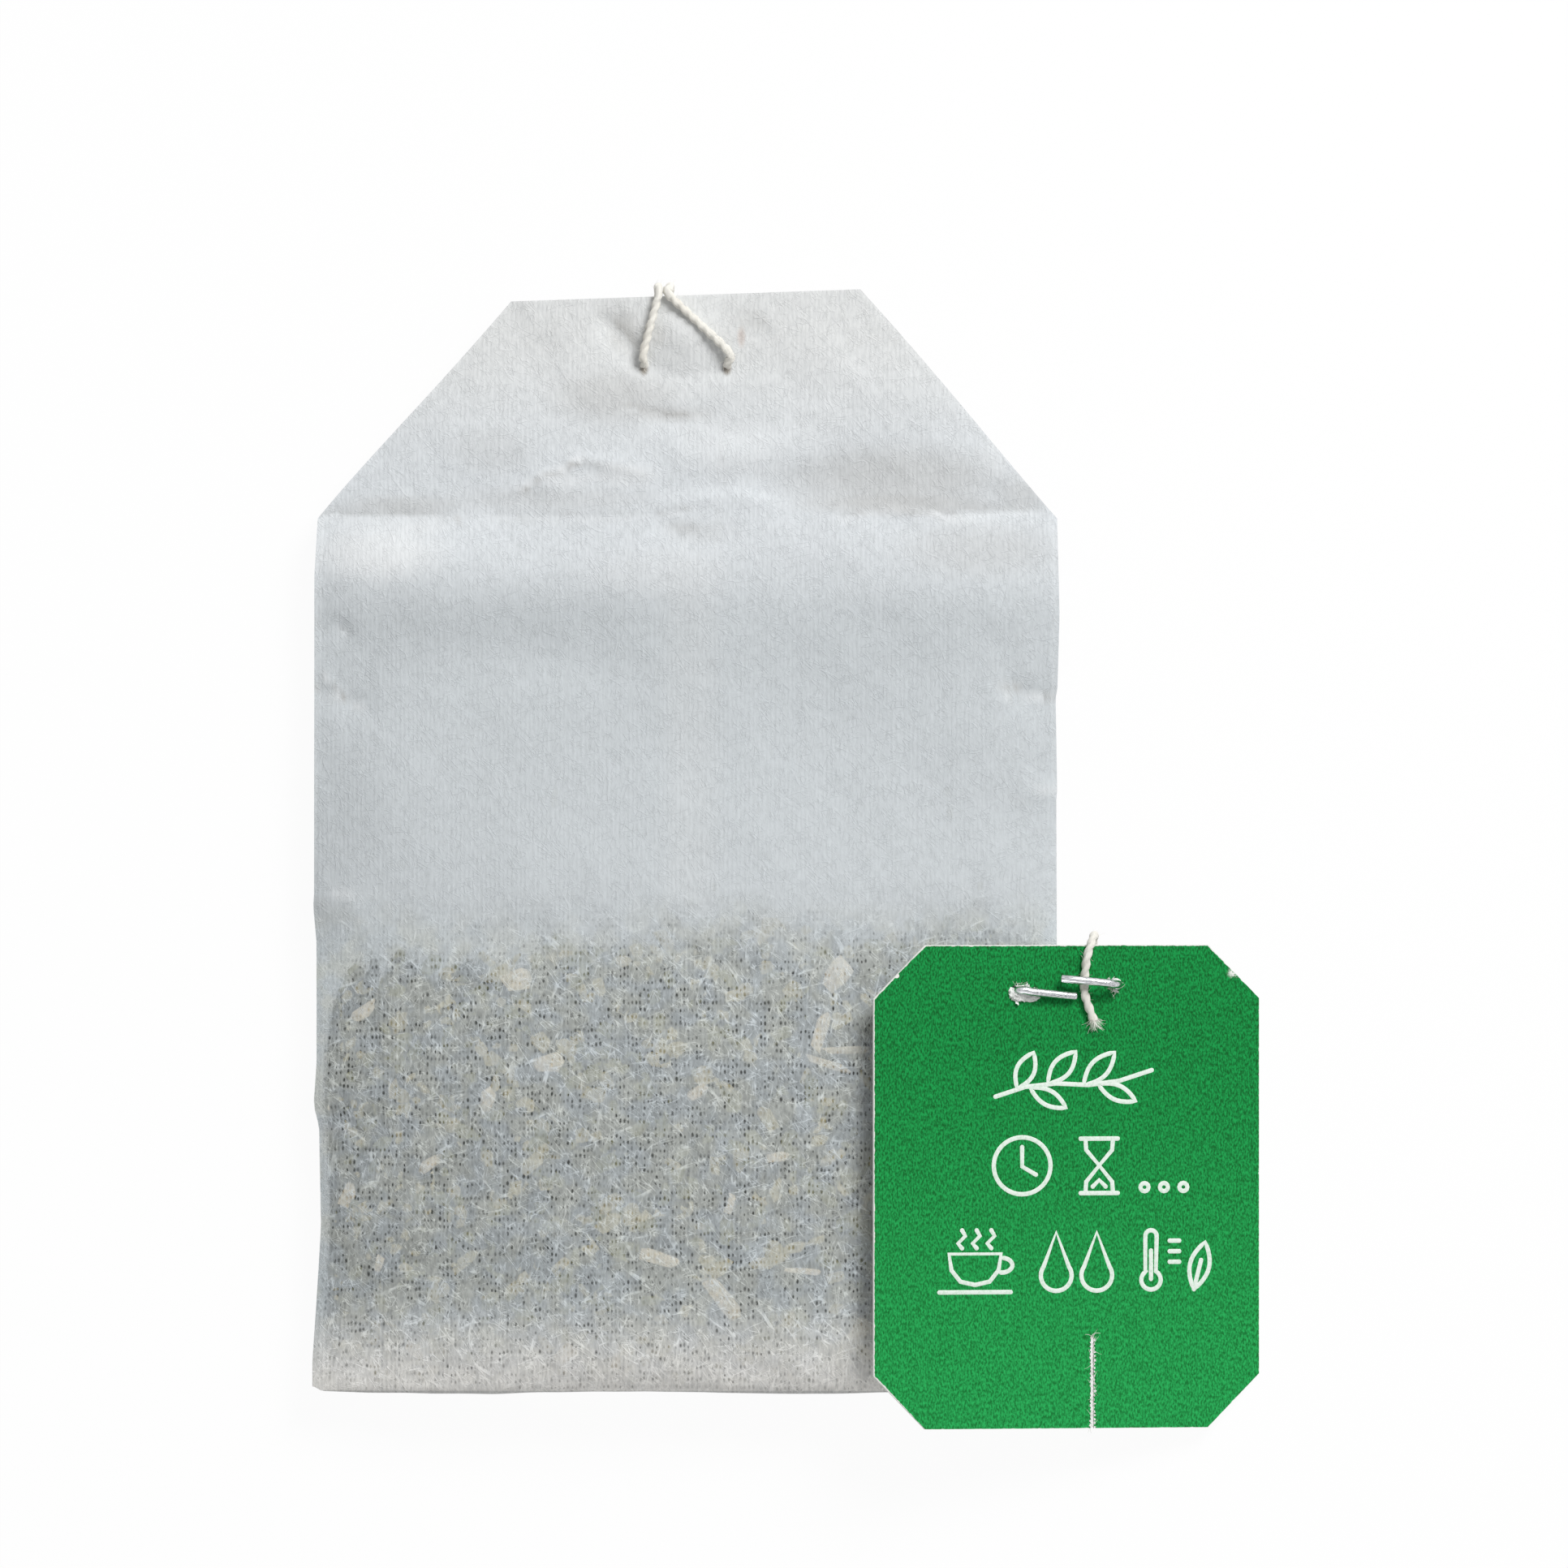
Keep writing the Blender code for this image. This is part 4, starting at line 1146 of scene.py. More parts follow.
# Small sharp folds: each adds a little relief, and paints shade on one side and a highlight on the other
# into the paper's colour
FOLD_LINES = (
    # start, end, width in millimetres, rise
    ((-24.8, 43.95), (-14.6, 43.75), 0.70, -0.50),
    ((-19.2, 43.45), (-14.4, 43.50), 0.30, 0.55),
    ((-15.6, 43.75), (-14.9, 43.30), 0.35, -0.90),
    ((-14.8, 43.70), (-1.5, 43.85), 0.45, -0.38),
    ((-2.4, 43.80), (1.2, 44.55), 0.40, -0.55),
    ((-1.6, 43.15), (1.2, 42.80), 0.35, -0.55),
    ((9.5, 43.70), (15.5, 44.30), 0.40, -0.50),
    ((12.8, 44.30), (16.2, 44.15), 0.30, 0.60),
    ((15.6, 44.05), (20.0, 43.45), 0.30, 0.60),
    ((15.0, 43.90), (25.0, 44.35), 0.65, -0.45),
    ((-11.4, 45.35), (-9.6, 46.60), 0.45, 1.10),
    ((-10.1, 46.55), (-7.9, 46.95), 0.40, 0.95),
    ((-8.6, 46.70), (-6.6, 47.90), 0.50, 1.25),
    ((-7.2, 47.70), (-2.0, 46.40), 0.40, 0.45),
    ((-4.6, 51.2), (-0.6, 50.55), 0.60, -0.45),
    ((-1.4, 50.50), (2.6, 50.95), 0.45, -0.40),
    ((-2.9, 54.6), (-5.2, 57.2), 0.70, -0.50),
    ((2.9, 54.8), (4.6, 57.2), 0.45, -0.15),
    ((2.35, 50.2), (2.45, 38.5), 0.40, -0.22),
    ((-25.0, 36.5), (-22.4, 36.1), 0.35, -0.70),
    ((-24.9, 32.2), (-21.2, 30.9), 0.40, -0.75),
    ((-24.3, 33.0), (-22.6, 31.2), 0.30, 0.70),
    ((-24.9, 17.9), (-22.0, 18.5), 0.40, 0.60),
    ((25.0, 31.5), (20.6, 32.4), 0.45, -0.80),
    ((22.8, 32.9), (21.0, 31.0), 0.35, 0.60),
    ((25.0, 25.4), (21.6, 24.8), 0.35, 0.65),
    ((-24.6, 2.5), (-21.8, 2.9), 0.45, -0.50),
)
FOLD_DEPTH = 0.10
# How strongly the folds paint shade and highlights into the paper's colour
FOLD_PAINTED_SHADE = 0.42
FOLD_PAINTED_LIGHT = 0.65
EDGE_LEFT = (
    # y, and how far the edge lies to the right there
    (60, 0), (43.8, 0.25), (39.8, 0.02), (18.2, 0.0), (17.6, -0.06), (15.2, 0.16), (7.0, 0.16),
    (4.2, -0.04), (2.8, 0.33), (-3.9, 0.46), (-5.3, 0.38), (-9.0, 0.16), (-13.0, -0.12), (-16, -0.12),
)
EDGE_RIGHT = (
    (60, 0), (44.4, -0.02), (40.0, 0.10), (37.2, 0.16), (32.2, 0.02), (31.6, -0.10), (25.4, 0.0),
    (25.0, -0.06), (15.0, -0.02), (-16, 0.0),
)
NEAR_EDGE_X = 24.0
STITCH_DIMPLE = 0.30
STITCH_DIMPLE_RADIUS = 0.75
FLAP_EDGE_Y = 50.4
FLAP_STEP = 0.07


def near_line(x, y, line):
    """The distance to a line of points, with its sign from the side, and the share along it."""
    best = (1e9, 1.0, 0.0)
    for index, ((ax, ay), (bx, by)) in enumerate(zip(line, line[1:])):
        dx, dy = bx - ax, by - ay
        share = ((x - ax) * dx + (y - ay) * dy) / (dx * dx + dy * dy)
        held = min(max(share, 0.0), 1.0)
        off_x, off_y = x - ax - held * dx, y - ay - held * dy
        distance = math.hypot(off_x, off_y)
        if distance < best[0]:
            side = 1.0 if off_y >= 0 else -1.0
            best = (distance, side, (index + held) / (len(line) - 1))
    return best


def fold_wander(x):
    """How far the folds that run across leave their straight line, in millimetres."""
    wide = noise.noise(Vector((x * 0.7, 2.0, 0.0)))
    narrow = noise.noise(Vector((x * 2.4, 5.0, 0.0)))
    return 0.26 * wide + 0.10 * narrow


def fold_at(x, y):
    """The small sharp folds at a place in millimetres: rise, shaded side, lit side."""
    height, dark, light = 0.0, 0.0, 0.0
    y += fold_wander(x)
    for start, end, width, rise in FOLD_LINES:
        if not min(start[1], end[1]) - width < y < max(start[1], end[1]) + width:
            continue
        distance, side, share = near_line(x, y, (start, end))
        if distance >= width:
            continue
        ends = 1.0 - smooth(0.75, 1.0, share)
        if abs(start[0]) <= NEAR_EDGE_X:
            ends *= smooth(0.0, 0.2, share)
        line = (1.0 - smooth(0.0, width, distance)) * ends
        height += rise * line
        if (side < 0) == (rise > 0):
            dark += abs(rise) * line
        else:
            light += abs(rise) * line
    return height, dark, light


def painted_shade_and_light_at(x, y):
    """How far a place in millimetres goes to the painted shade and to the painted highlight of the paper.
    """
    _, dark, light = fold_at(x, y)
    dark, light = FOLD_PAINTED_SHADE * dark, FOLD_PAINTED_LIGHT * light
    for centre, radii, depth in HEAD_PAINTED_SHADE_AND_LIGHT:
        away = math.hypot((x - centre[0]) / radii[0], (y - centre[1]) / radii[1])
        amount = abs(depth) * (1.0 - smooth(0.25, 1.0, away)) if away < 1.0 else 0.0
        if depth > 0:
            dark += amount
        else:
            light += amount
    return min(dark, 1.0), min(light, 1.0)


def relief(x, y):
    """The height that creases and waves add to the front, in metres, at a place in metres."""
    x, y = x / MM, y / MM
    height = 0.0
    for line, rise, above, below in CREASES:
        distance, side, share = near_line(x, y + fold_wander(x), line)
        width = above if side > 0 else below
        if distance < 5 * width:
            fade = smooth(-0.02, 0.22, share) * (1.0 - smooth(0.70, 1.02, share))
            if abs(line[0][0]) > NEAR_EDGE_X:
                fade = 1.0 - smooth(0.60, 1.02, share)
            height += CREASE_DEPTH * rise * fade * math.exp(-distance / width)
    height += FOLD_DEPTH * fold_at(x, y)[0]
    for centre_x, centre_y, half_x, half_y, rise in BULGES:
        away = ((x - centre_x) / half_x) ** 2 + ((y - centre_y) / half_y) ** 2
        height += BULGE_DEPTH * rise * math.exp(-1.3 * away)
    for side in (-1, 1):
        away = math.hypot(x - side * STITCH_SPACING / 2 / MM, y - STITCH_Y / MM)
        height -= STITCH_DIMPLE * math.exp(-((away / STITCH_DIMPLE_RADIUS) ** 2))
    half_flap = 6.0 + 0.75 * (y - FLAP_EDGE_Y)
    in_flap = smooth(FLAP_EDGE_Y - 0.7, FLAP_EDGE_Y + 0.8, y)
    height += FLAP_STEP * in_flap * (1.0 - smooth(half_flap - 0.8, half_flap + 0.9, abs(x)))
    place = Vector((x, y, 0.0))
    over_tea = 1.0 - smooth(12.0, 20.0, y)
    height += 0.10 * noise.fractal(place * 0.16, 0.8, 2.0, 3)
    height += 0.05 * noise.noise(Vector((x * 0.9, y * 0.5, 5.0)))
    height += over_tea * 0.11 * noise.fractal(place * 0.55 + Vector((9, 4, 1)), 0.8, 2.0, 3)
    return height * MM


def edge_shift(x, y):
    """How far the side edges wander, in metres."""
    table = EDGE_LEFT if x < 0 else EDGE_RIGHT
    y_mm = y / MM
    shift = table[-1][1]
    for (high, first), (low, second) in zip(table, table[1:]):
        if low <= y_mm <= high:
            shift = mix(second, first, (y_mm - low) / (high - low))
            break
    return shift * MM * abs(x / HALF_WIDTH) ** 6


def foot_shift(x, y):
    """How far the bottom edge wanders, and its rounded corners, in metres."""
    x_mm = x / MM
    wave = 0.08 * math.sin(x_mm * 0.27 + 2.6) + 0.05 * noise.noise(Vector((x_mm * 0.35, 7.0, 0.0)))
    corner = 0.30 * smooth(24.0, 25.0, abs(x_mm)) ** 2
    return (wave + corner) * MM * (1.0 - smooth(BOTTOM_Y, BOTTOM_Y + 0.0025, y))


def crumpled(point, ply):
    """A point of the folded sheet with its creases and waves."""
    x, y, z, _ = point
    depth = (HEAD_TOP_Z - z) / (HEAD_TOP_Z - HEAD_LOW_Z)
    in_head = 1.0 - 0.35 * min(max(depth, 0.0), 1.0)
    weight = mix(PLY_FOLLOWS[ply], in_head, pressed(y))
    edge = 1.0 - 0.5 * smooth(0.90, 1.0, abs(x) / HALF_WIDTH)
    height = z + relief(x, y) * weight * edge
    return x + edge_shift(x, y), y + foot_shift(x, y), max(height, PLY / 2)


def filter_paper(look):
    """The folded tube of paper as one thin sheet, laid along its folds."""
    whole = 2 * (BOTTOM_Y - GUSSET_RISE)
    halves = half_rows(0, 1) + [(whole - along, pair) for along, pair in half_rows(3, 2)[::-1]]
    front = len(halves) // 2
    rings, places = [], []
    for number, (along, (outer, inner)) in enumerate(halves):
        plies = (0, 1) if number < front else (3, 2)
        ring = [crumpled(point, plies[0]) for point in outer]
        ring += [crumpled(point, plies[1]) for point in inner[::-1]]
        flat = [(HALF_WIDTH + point[3], along) for point in outer]
        flat += [(3 * HALF_WIDTH - point[3], along) for point in inner[::-1]]
        rings.append(ring + ring[:1])
        places.append(flat + [(4 * HALF_WIDTH, along)])
    shape = bmesh.new()
    bmesh.ops.create_grid(shape, x_segments=len(rings[0]) - 1, y_segments=len(rings) - 1, size=1.0)
    layer = shape.loops.layers.uv.new("sheet")
    shape.verts.ensure_lookup_table()
    flat = [place for row in places for place in row]
    for face in shape.faces:
        for loop in face.loops:
            u, v = flat[loop.vert.index]
            loop[layer].uv = (u / SHEET_UV, (v + SHEET_START) / SHEET_UV)
    for vertex, place in zip(shape.verts, [point for ring in rings for point in ring]):
        vertex.co = place
    bmesh.ops.remove_doubles(shape, verts=shape.verts, dist=PLY / 20)
    bmesh.ops.dissolve_degenerate(shape, edges=shape.edges, dist=PLY / 20)
    bmesh.ops.recalc_face_normals(shape, faces=shape.faces)
    # Stores at each corner the painted shade and painted highlight for the paper's colour
    folds = shape.verts.layers.float_color.new("folds")
    for vertex in shape.verts:
        vertex[folds] = (*painted_shade_and_light_at(vertex.co.x / MM, vertex.co.y / MM), 0.0, 1.0)
    piece = mesh_object("filter_paper_sheet", shape, [look], 38)
    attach(piece, "root")
    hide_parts("filter_paper")
    return piece


# Tea

# How far up the tea lies in front: x, y
TEA_TOP_LINE = (
    (-25, 14.4), (-22, 14.0), (-14, 13.9), (-8, 14.6), (-2, 15.3), (1.5, 17.2), (3.5, 16.6),
    (8, 15.4), (12, 14.9), (16, 16.6), (20, 17.6), (23, 16.2), (25, 15.4),
)

FRONT_BITS = 5200
REAR_BITS = 2600
NEAR_PAPER = 2.2
DARK_SHARE = 0.55
OLIVE_SHARE = 0.82
CORE_DEPTH = 0.45 * MM
STEM_THICKNESS = 0.42 * MM
STEM_GROWN = 1.22
# Crumbs higher up: x, y, length, width
CRUMBS = (
    (17.8, 23.9, 0.9, 0.45),
    (17.6, 25.3, 0.7, 0.4),
    (-8.8, 24.9, 1.3, 0.4),
    (1.9, 18.9, 0.6, 0.4),
    (19.8, 19.0, 0.7, 0.4),
    (22.6, 18.3, 0.6, 0.4),
)

STEMS = (
    # x, y, length, width, angle in degrees, all as seen through the front
    (-1.6, -6.1, 2.4, 0.75, -15),
    (2.5, -8.7, 3.1, 1.15, -52),
    (9.1, 9.2, 2.2, 0.8, 70),
    (10.1, 13.0, 2.6, 1.3, 55),
    (9.5, 7.0, 2.8, 0.5, -18),
    (-23.5, 3.9, 1.1, 0.8, 5),
    (-22.6, -1.8, 1.9, 1.0, 60),
    (-11.3, 12.6, 1.7, 1.2, 20),
    (-21.3, 10.6, 2.2, 0.9, 25),
    (-9.2, 7.0, 1.8, 1.0, 10),
    (-13.3, 4.5, 1.7, 0.8, 80),
    (-7.9, -12.4, 1.5, 0.9, 40),
    (3.0, -2.3, 1.4, 0.6, 75),
    (10.8, 7.9, 2.6, 0.45, 2),
    (0.8, 5.0, 1.5, 0.7, 30),
    (11.7, -10.9, 1.8, 0.9, 50),
    (-17.0, 0.4, 1.6, 0.7, 35),
    (6.2, 0.8, 1.4, 0.6, 10),
    (-4.6, -12.9, 1.2, 0.6, 80),
    (-20.6, -6.4, 1.2, 0.5, 75),
    (7.9, -6.9, 2.7, 0.35, -4),
    (-18.2, -12.2, 1.3, 0.8, -30),
)


def tea_top(x):
    """The height up to which tea lies in the front chamber, in millimetres."""
    for (low, first), (high, second) in zip(TEA_TOP_LINE, TEA_TOP_LINE[1:]):
        if low <= x <= high:
            return mix(first, second, (x - low) / (high - low))
    return TEA_TOP_LINE[0][1]


def squarish(part):
    """Moves a part of a place on a ball of width 1 outwards, towards a cube."""
    return math.copysign(abs(part * 2) ** 0.6 / 2, part)


def leaf_pattern():
    """The corners and faces of a squarish pebble, which every bit of leaf starts from."""
    shape = bmesh.new()
    bmesh.ops.create_icosphere(shape, subdivisions=1, radius=0.5)
    corners = [Vector([squarish(part) for part in vertex.co]) for vertex in shape.verts]
    faces = [[vertex.index for vertex in face.verts] for face in shape.faces]
    shape.free()
    return corners, faces


LEAF_CORNERS, LEAF_FACES = leaf_pattern()


def leaf_bit(shape, place, size, turn, tilt, number, look):
    """One bit of cut leaf or stem: a small uneven lump."""
    leaning = Matrix.Rotation(tilt[0], 3, "X") @ Matrix.Rotation(tilt[1], 3, "Y")
    turned = Matrix.Rotation(turn, 3, "Z") @ leaning
    made = []
    for index, corner in enumerate(LEAF_CORNERS):
        uneven = 1.0 + 0.5 * noise.noise(Vector((number * 1.7, index * 2.3, 0.5)))
        grown = Vector((corner.x * size[0], corner.y * size[1], corner.z * size[2])) * uneven
        made.append(shape.verts.new(turned @ grown + place))
    for corners in LEAF_FACES:
        shape.faces.new([made[corner] for corner in corners]).material_index = look


def chamber_room(outer, inner, x, y, reach):
    """The lowest top and the highest bottom of a chamber round a place, in metres."""
    above, below = min(outer, inner), max(outer, inner)
    top, low = 1.0, -1.0
    for step_x, step_y in ((-reach, 0), (reach, 0), (0, -reach), (0, reach), (0, 0)):
        near_x, near_y = (x + step_x) * MM, (y + step_y) * MM
        top = min(top, ply_z(above, near_x, near_y))
        low = max(low, ply_z(below, near_x, near_y))
    if above == 0:
        top += min(relief(x * MM, y * MM), 0.0)
        return top - 0.13 * MM, low + 0.10 * MM
    return top - 0.20 * MM, low + 0.20 * MM


def over_stem(x, y):
    """Whether a bit here would hide one of the light stems."""
    return any(math.hypot(x - stem[0], y - stem[1]) < 0.60 * stem[2] for stem in STEMS)


def tea_bits(shape, luck, count, outer, inner, first_number):
    """Scatters bits in a chamber, most of them against its outer ply."""
    done = 0
    while done < count:
        x = luck.uniform(-24.5, 24.5)
        y = luck.uniform(-14.5, 18.5)
        line = tea_top(x) + 0.5 * noise.noise(Vector((x * 1.1, 0, 0)))
        if luck.random() > 1.0 - smooth(line - 2.4, line + 1.1, y):
            continue
        width = luck.uniform(0.35, 1.15) * (1.0 - 0.6 * smooth(21.0, 24.5, abs(x)))
        length = luck.uniform(1.0, 2.3) * width
        if abs(x) > 24.6 - 0.55 * length or y < -14.7 + 0.6 * length or (outer == 0 and over_stem(x, y)):
            continue
        high, low = chamber_room(outer, inner, x, y, 0.4 * length)
        thick = min(width, luck.uniform(0.12, 0.42)) * MM
        span = high - low - 1.3 * thick
        if span < 0.0:
            continue
        depth = luck.random() ** NEAR_PAPER
        if outer > inner:
            depth = 1.0 - depth
        place = Vector((x * MM + edge_shift(x * MM, y * MM), y * MM, high - 0.65 * thick - span * depth))
        patch = noise.noise(Vector((x * 0.45, y * 0.45, 2.0)))
        fate = luck.random() + 0.8 * patch
        look = 0 if fate < DARK_SHARE else 1 if fate < OLIVE_SHARE else 2
        size = Vector((length * MM, width * MM, thick))
        tilt = (luck.uniform(-0.15, 0.15), luck.uniform(-0.1, 0.1))
        leaf_bit(shape, place, size, luck.uniform(0, math.pi), tilt, done + first_number, look)
        done += 1


def tea_core(shape, outer, inner):
    """The dense heart of a portion, an uneven lump under the loose bits."""
    above, below = min(outer, inner), max(outer, inner)
    grid = bmesh.ops.create_grid(shape, x_segments=40, y_segments=30, size=1.0)["verts"]
    flat = list({face for vertex in grid for face in vertex.link_faces})
    lifted = bmesh.ops.extrude_face_region(shape, geom=flat)["geom"]
    upper = {item for item in lifted if isinstance(item, bmesh.types.BMVert)}
    made = set(grid) | upper
    for vertex in made:
        u, v = vertex.co.x, (vertex.co.y + 1.0) / 2.0
        x = math.sin(u * math.pi / 2) * 24.3 * (1.0 - 0.03 * abs(2 * v - 1) ** 6)
        y = mix(-13.4, tea_top(x) - 2.2 + 0.8 * noise.noise(Vector((x * 0.7, 1, 0))), v)
        top, low = ply_z(above, x * MM, y * MM), ply_z(below, x * MM, y * MM)
        thin, thick = 0.12 * MM, min(CORE_DEPTH, 0.45 * (top - low))
        top, low = (top - thin, low + thick) if outer > inner else (top - thick, low + thin)
        uneven = 0.12 * MM * noise.noise(Vector((x * 0.9, y * 0.9, 4.0)))
        uneven *= 1.0 - smooth(20.0, 24.0, abs(x))
        z = max(top + uneven, low + 0.05 * MM) if vertex in upper else min(low, top - 0.05 * MM)
        vertex.co = (x * MM + edge_shift(x * MM, y * MM), y * MM, z)
    faces = {face for vertex in made for face in vertex.link_faces}
    bmesh.ops.recalc_face_normals(shape, faces=list(faces))


def tea_stems(shape):
    """The light bits of stem that show through the front."""
    for number, (x, y, length, width, angle) in enumerate(STEMS):
        top, low = chamber_room(0, 1, x, y, 0.4 * length)
        thick = min(STEM_THICKNESS, 0.7 * (top - low))
        place = Vector((x * MM, y * MM, top - 0.5 * thick))
        size = Vector((length * MM, width * MM, thick)) * STEM_GROWN
        leaf_bit(shape, place, size, math.radians(angle), (0.0, 0.0), 4000 + number, 3)


def stray_bits(shape):
    """Single crumbs that lie higher up between the plies."""
    for number, (x, y, length, width) in enumerate(CRUMBS):
        under = ply_z(0, x * MM, y * MM) + relief(x * MM, y * MM) - 0.14 * MM
        place = Vector((x * MM, y * MM, under))
        leaf_bit(shape, place, Vector((length, width, 0.10)) * MM, 1.45, (0.0, 0.0), 5000 + number, 1)


def tea_piece(name, node_name, outer, inner, count, seed, looks):
    """One portion of tea."""
    luck = random.Random(seed)
    shape = bmesh.new()
    tea_core(shape, outer, inner)
    tea_bits(shape, luck, count, outer, inner, seed * 100)
    if outer == 0:
        tea_stems(shape)
        stray_bits(shape)
    piece = mesh_object(name, shape, looks, 40)
    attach(piece, "root")
    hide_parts(node_name)
    return piece


# Tag, staple and print

def tag_angle():
    """The angle at which the tag leans."""
    return math.atan(TAG_SLOPE)


def tag_centre():
    """The middle of the tag."""
    angle = tag_angle()
    lift = TAG_WIDTH / 2 * math.sin(angle) + TAG_THICKNESS / 2 * math.cos(angle)
    return Vector((TAG_RIGHT_X - TAG_WIDTH / 2 * math.cos(angle), TAG_TOP_Y - TAG_HEIGHT / 2, lift))


def on_tag():
    """Takes a place on the tag to its place in the scene."""
    return Matrix.Translation(tag_centre()) @ Matrix.Rotation(tag_angle(), 4, "Y")


def seen_on_tag(across, down):
    """A place on the tag's face, in metres from its centre, from steps as seen from above."""
    return across * PRINT_STEP / math.cos(tag_angle()), -down * PRINT_STEP - PRINT_LOWER


WIRE_STEP = 0.00016
WIRE_SIDES = 20
WIRE_BEVEL = 0.04 * MM
SLIT_FLAKES = 46
SLIT_HAIRS = 60
FLAKE_THICKNESS = 0.025 * MM
# Lumps of torn card: side, x and y from that leg of the staple, size, number
TORN_LUMPS = (
    (-1, 0.30, -0.42, (0.95, 0.62, 0.42), 1.0),
    (-1, 0.95, -0.62, (0.75, 0.40, 0.30), 4.0),
    (1, -0.15, 0.25, (0.45, 0.40, 0.34), 7.0),
)


def staple_line():
    """The wire's points, from one cut end round behind the tag to the other."""
    half = STAPLE_SPAN / 2
    face = TAG_THICKNESS / 2
    low = face + WIRE_GAP + WIRE_DIAMETER / 2
    over_thread = low + THREAD_DIAMETER + WIRE_GAP
    left_y = STAPLE_Y - STAPLE_LEAN / 2
    right_y = STAPLE_Y + STAPLE_LEAN / 2
    bend = WIRE_DIAMETER
    left_leg = [
        (-half + STAPLE_LEG, left_y - STAPLE_LEAN, low),
        (-half + 2 * bend, left_y - STAPLE_LEAN / 4, low + bend / 3),
        (-half + bend, left_y, low + bend / 4),
        (-half + bend / 4, left_y, low),
        (-half, left_y, face),
    ]
    right_leg = [
        (half - STAPLE_LEG, right_y + STAPLE_LEAN, low + bend / 2),
        (half - STAPLE_LEG * 0.75, right_y + STAPLE_LEAN * 0.75, over_thread),
        (half - 2 * bend, right_y + STAPLE_LEAN / 4, over_thread + bend / 4),
        (half - bend, right_y, over_thread),
        (half - bend / 4, right_y, low + bend / 2),
        (half, right_y, face),
    ]
    crown = [
        (-half, left_y, -face),
        (-half + bend / 4, left_y, -low * 0.8),
        (-half + bend, left_y, -low),
        (half - bend, right_y, -low),
        (half - bend / 4, right_y, -low * 0.8),
        (half, right_y, -face),
    ]
    return [Vector(point) for point in left_leg + crown + right_leg[::-1]]


def staple_piece(look):
    """The wire staple, round in section, with its legs clinched against the front of the tag."""
    points = smooth_line(staple_line(), WIRE_STEP)
    shape = bmesh.new()

    def section(run):
        radius = WIRE_DIAMETER / 2 * (1.0 + 0.02 * noise.noise(Vector((run * 700, 0, 0))))
        angles = [2 * math.pi * corner / WIRE_SIDES for corner in range(WIRE_SIDES)]
        return [(radius * math.cos(angle), radius * math.sin(angle)) for angle in angles]

    swept(shape, points, section)
    ends = [face for face in shape.faces if len(face.verts) > 4]
    rims = list({edge for face in ends for edge in face.edges})
    bevel = {"offset": WIRE_BEVEL, "segments": 2, "profile": 0.5, "affect": "EDGES", "material": -1}
    bmesh.ops.bevel(shape, geom=rims, **bevel)
    bmesh.ops.recalc_face_normals(shape, faces=shape.faces)
    bmesh.ops.transform(shape, matrix=on_tag(), verts=shape.verts)
    piece = mesh_object("staple_wire", shape, [look], 45)
    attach(piece, "root")
    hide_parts("tag_staple")


def torn_flake(shape, x, y, heading, length, width, lift, number):
    """A torn scrap of card that stands up a little."""
    base = TAG_THICKNESS / 2
    side = Vector((-math.sin(heading), math.cos(heading), 0.0))
    ahead = Vector((math.cos(heading), math.sin(heading), 0.0))
    made = bmesh.ops.create_grid(shape, x_segments=4, y_segments=2, size=1.0)["verts"]
    for index, vertex in enumerate(made):
        along = (vertex.co.x + 1) / 2
        ragged = 1.0 + 0.7 * noise.noise(Vector((number * 3.1, index * 1.9, 0.0)))
        across = vertex.co.y * width / 2 * (1.0 - 0.35 * along) * ragged
        rise = lift * along * along * ragged + 0.01 * MM
        place = Vector((x, y, base + rise)) + ahead * (along * length * ragged) + side * across
        vertex.co = place


def torn_lump(shape, x, y, size, number):
    """A crumpled lump of torn card round a leg of the staple."""
    made = bmesh.ops.create_icosphere(shape, subdivisions=4, radius=1.0)["verts"]
    for vertex in made:
        place = Vector(vertex.co)
        folds = noise.ridged_multi_fractal(place * 1.6 + Vector((number, 0, 0)), 0.9, 2.2, 4, 1.0, 2.0)
        grown = place * (0.62 + 0.22 * folds + 0.12 * noise.noise(place * 6.0))
        height = TAG_THICKNESS / 2 + max(grown.z, 0.02) * size[2]
        vertex.co = (x + grown.x * size[0], y + grown.y * size[1], height)


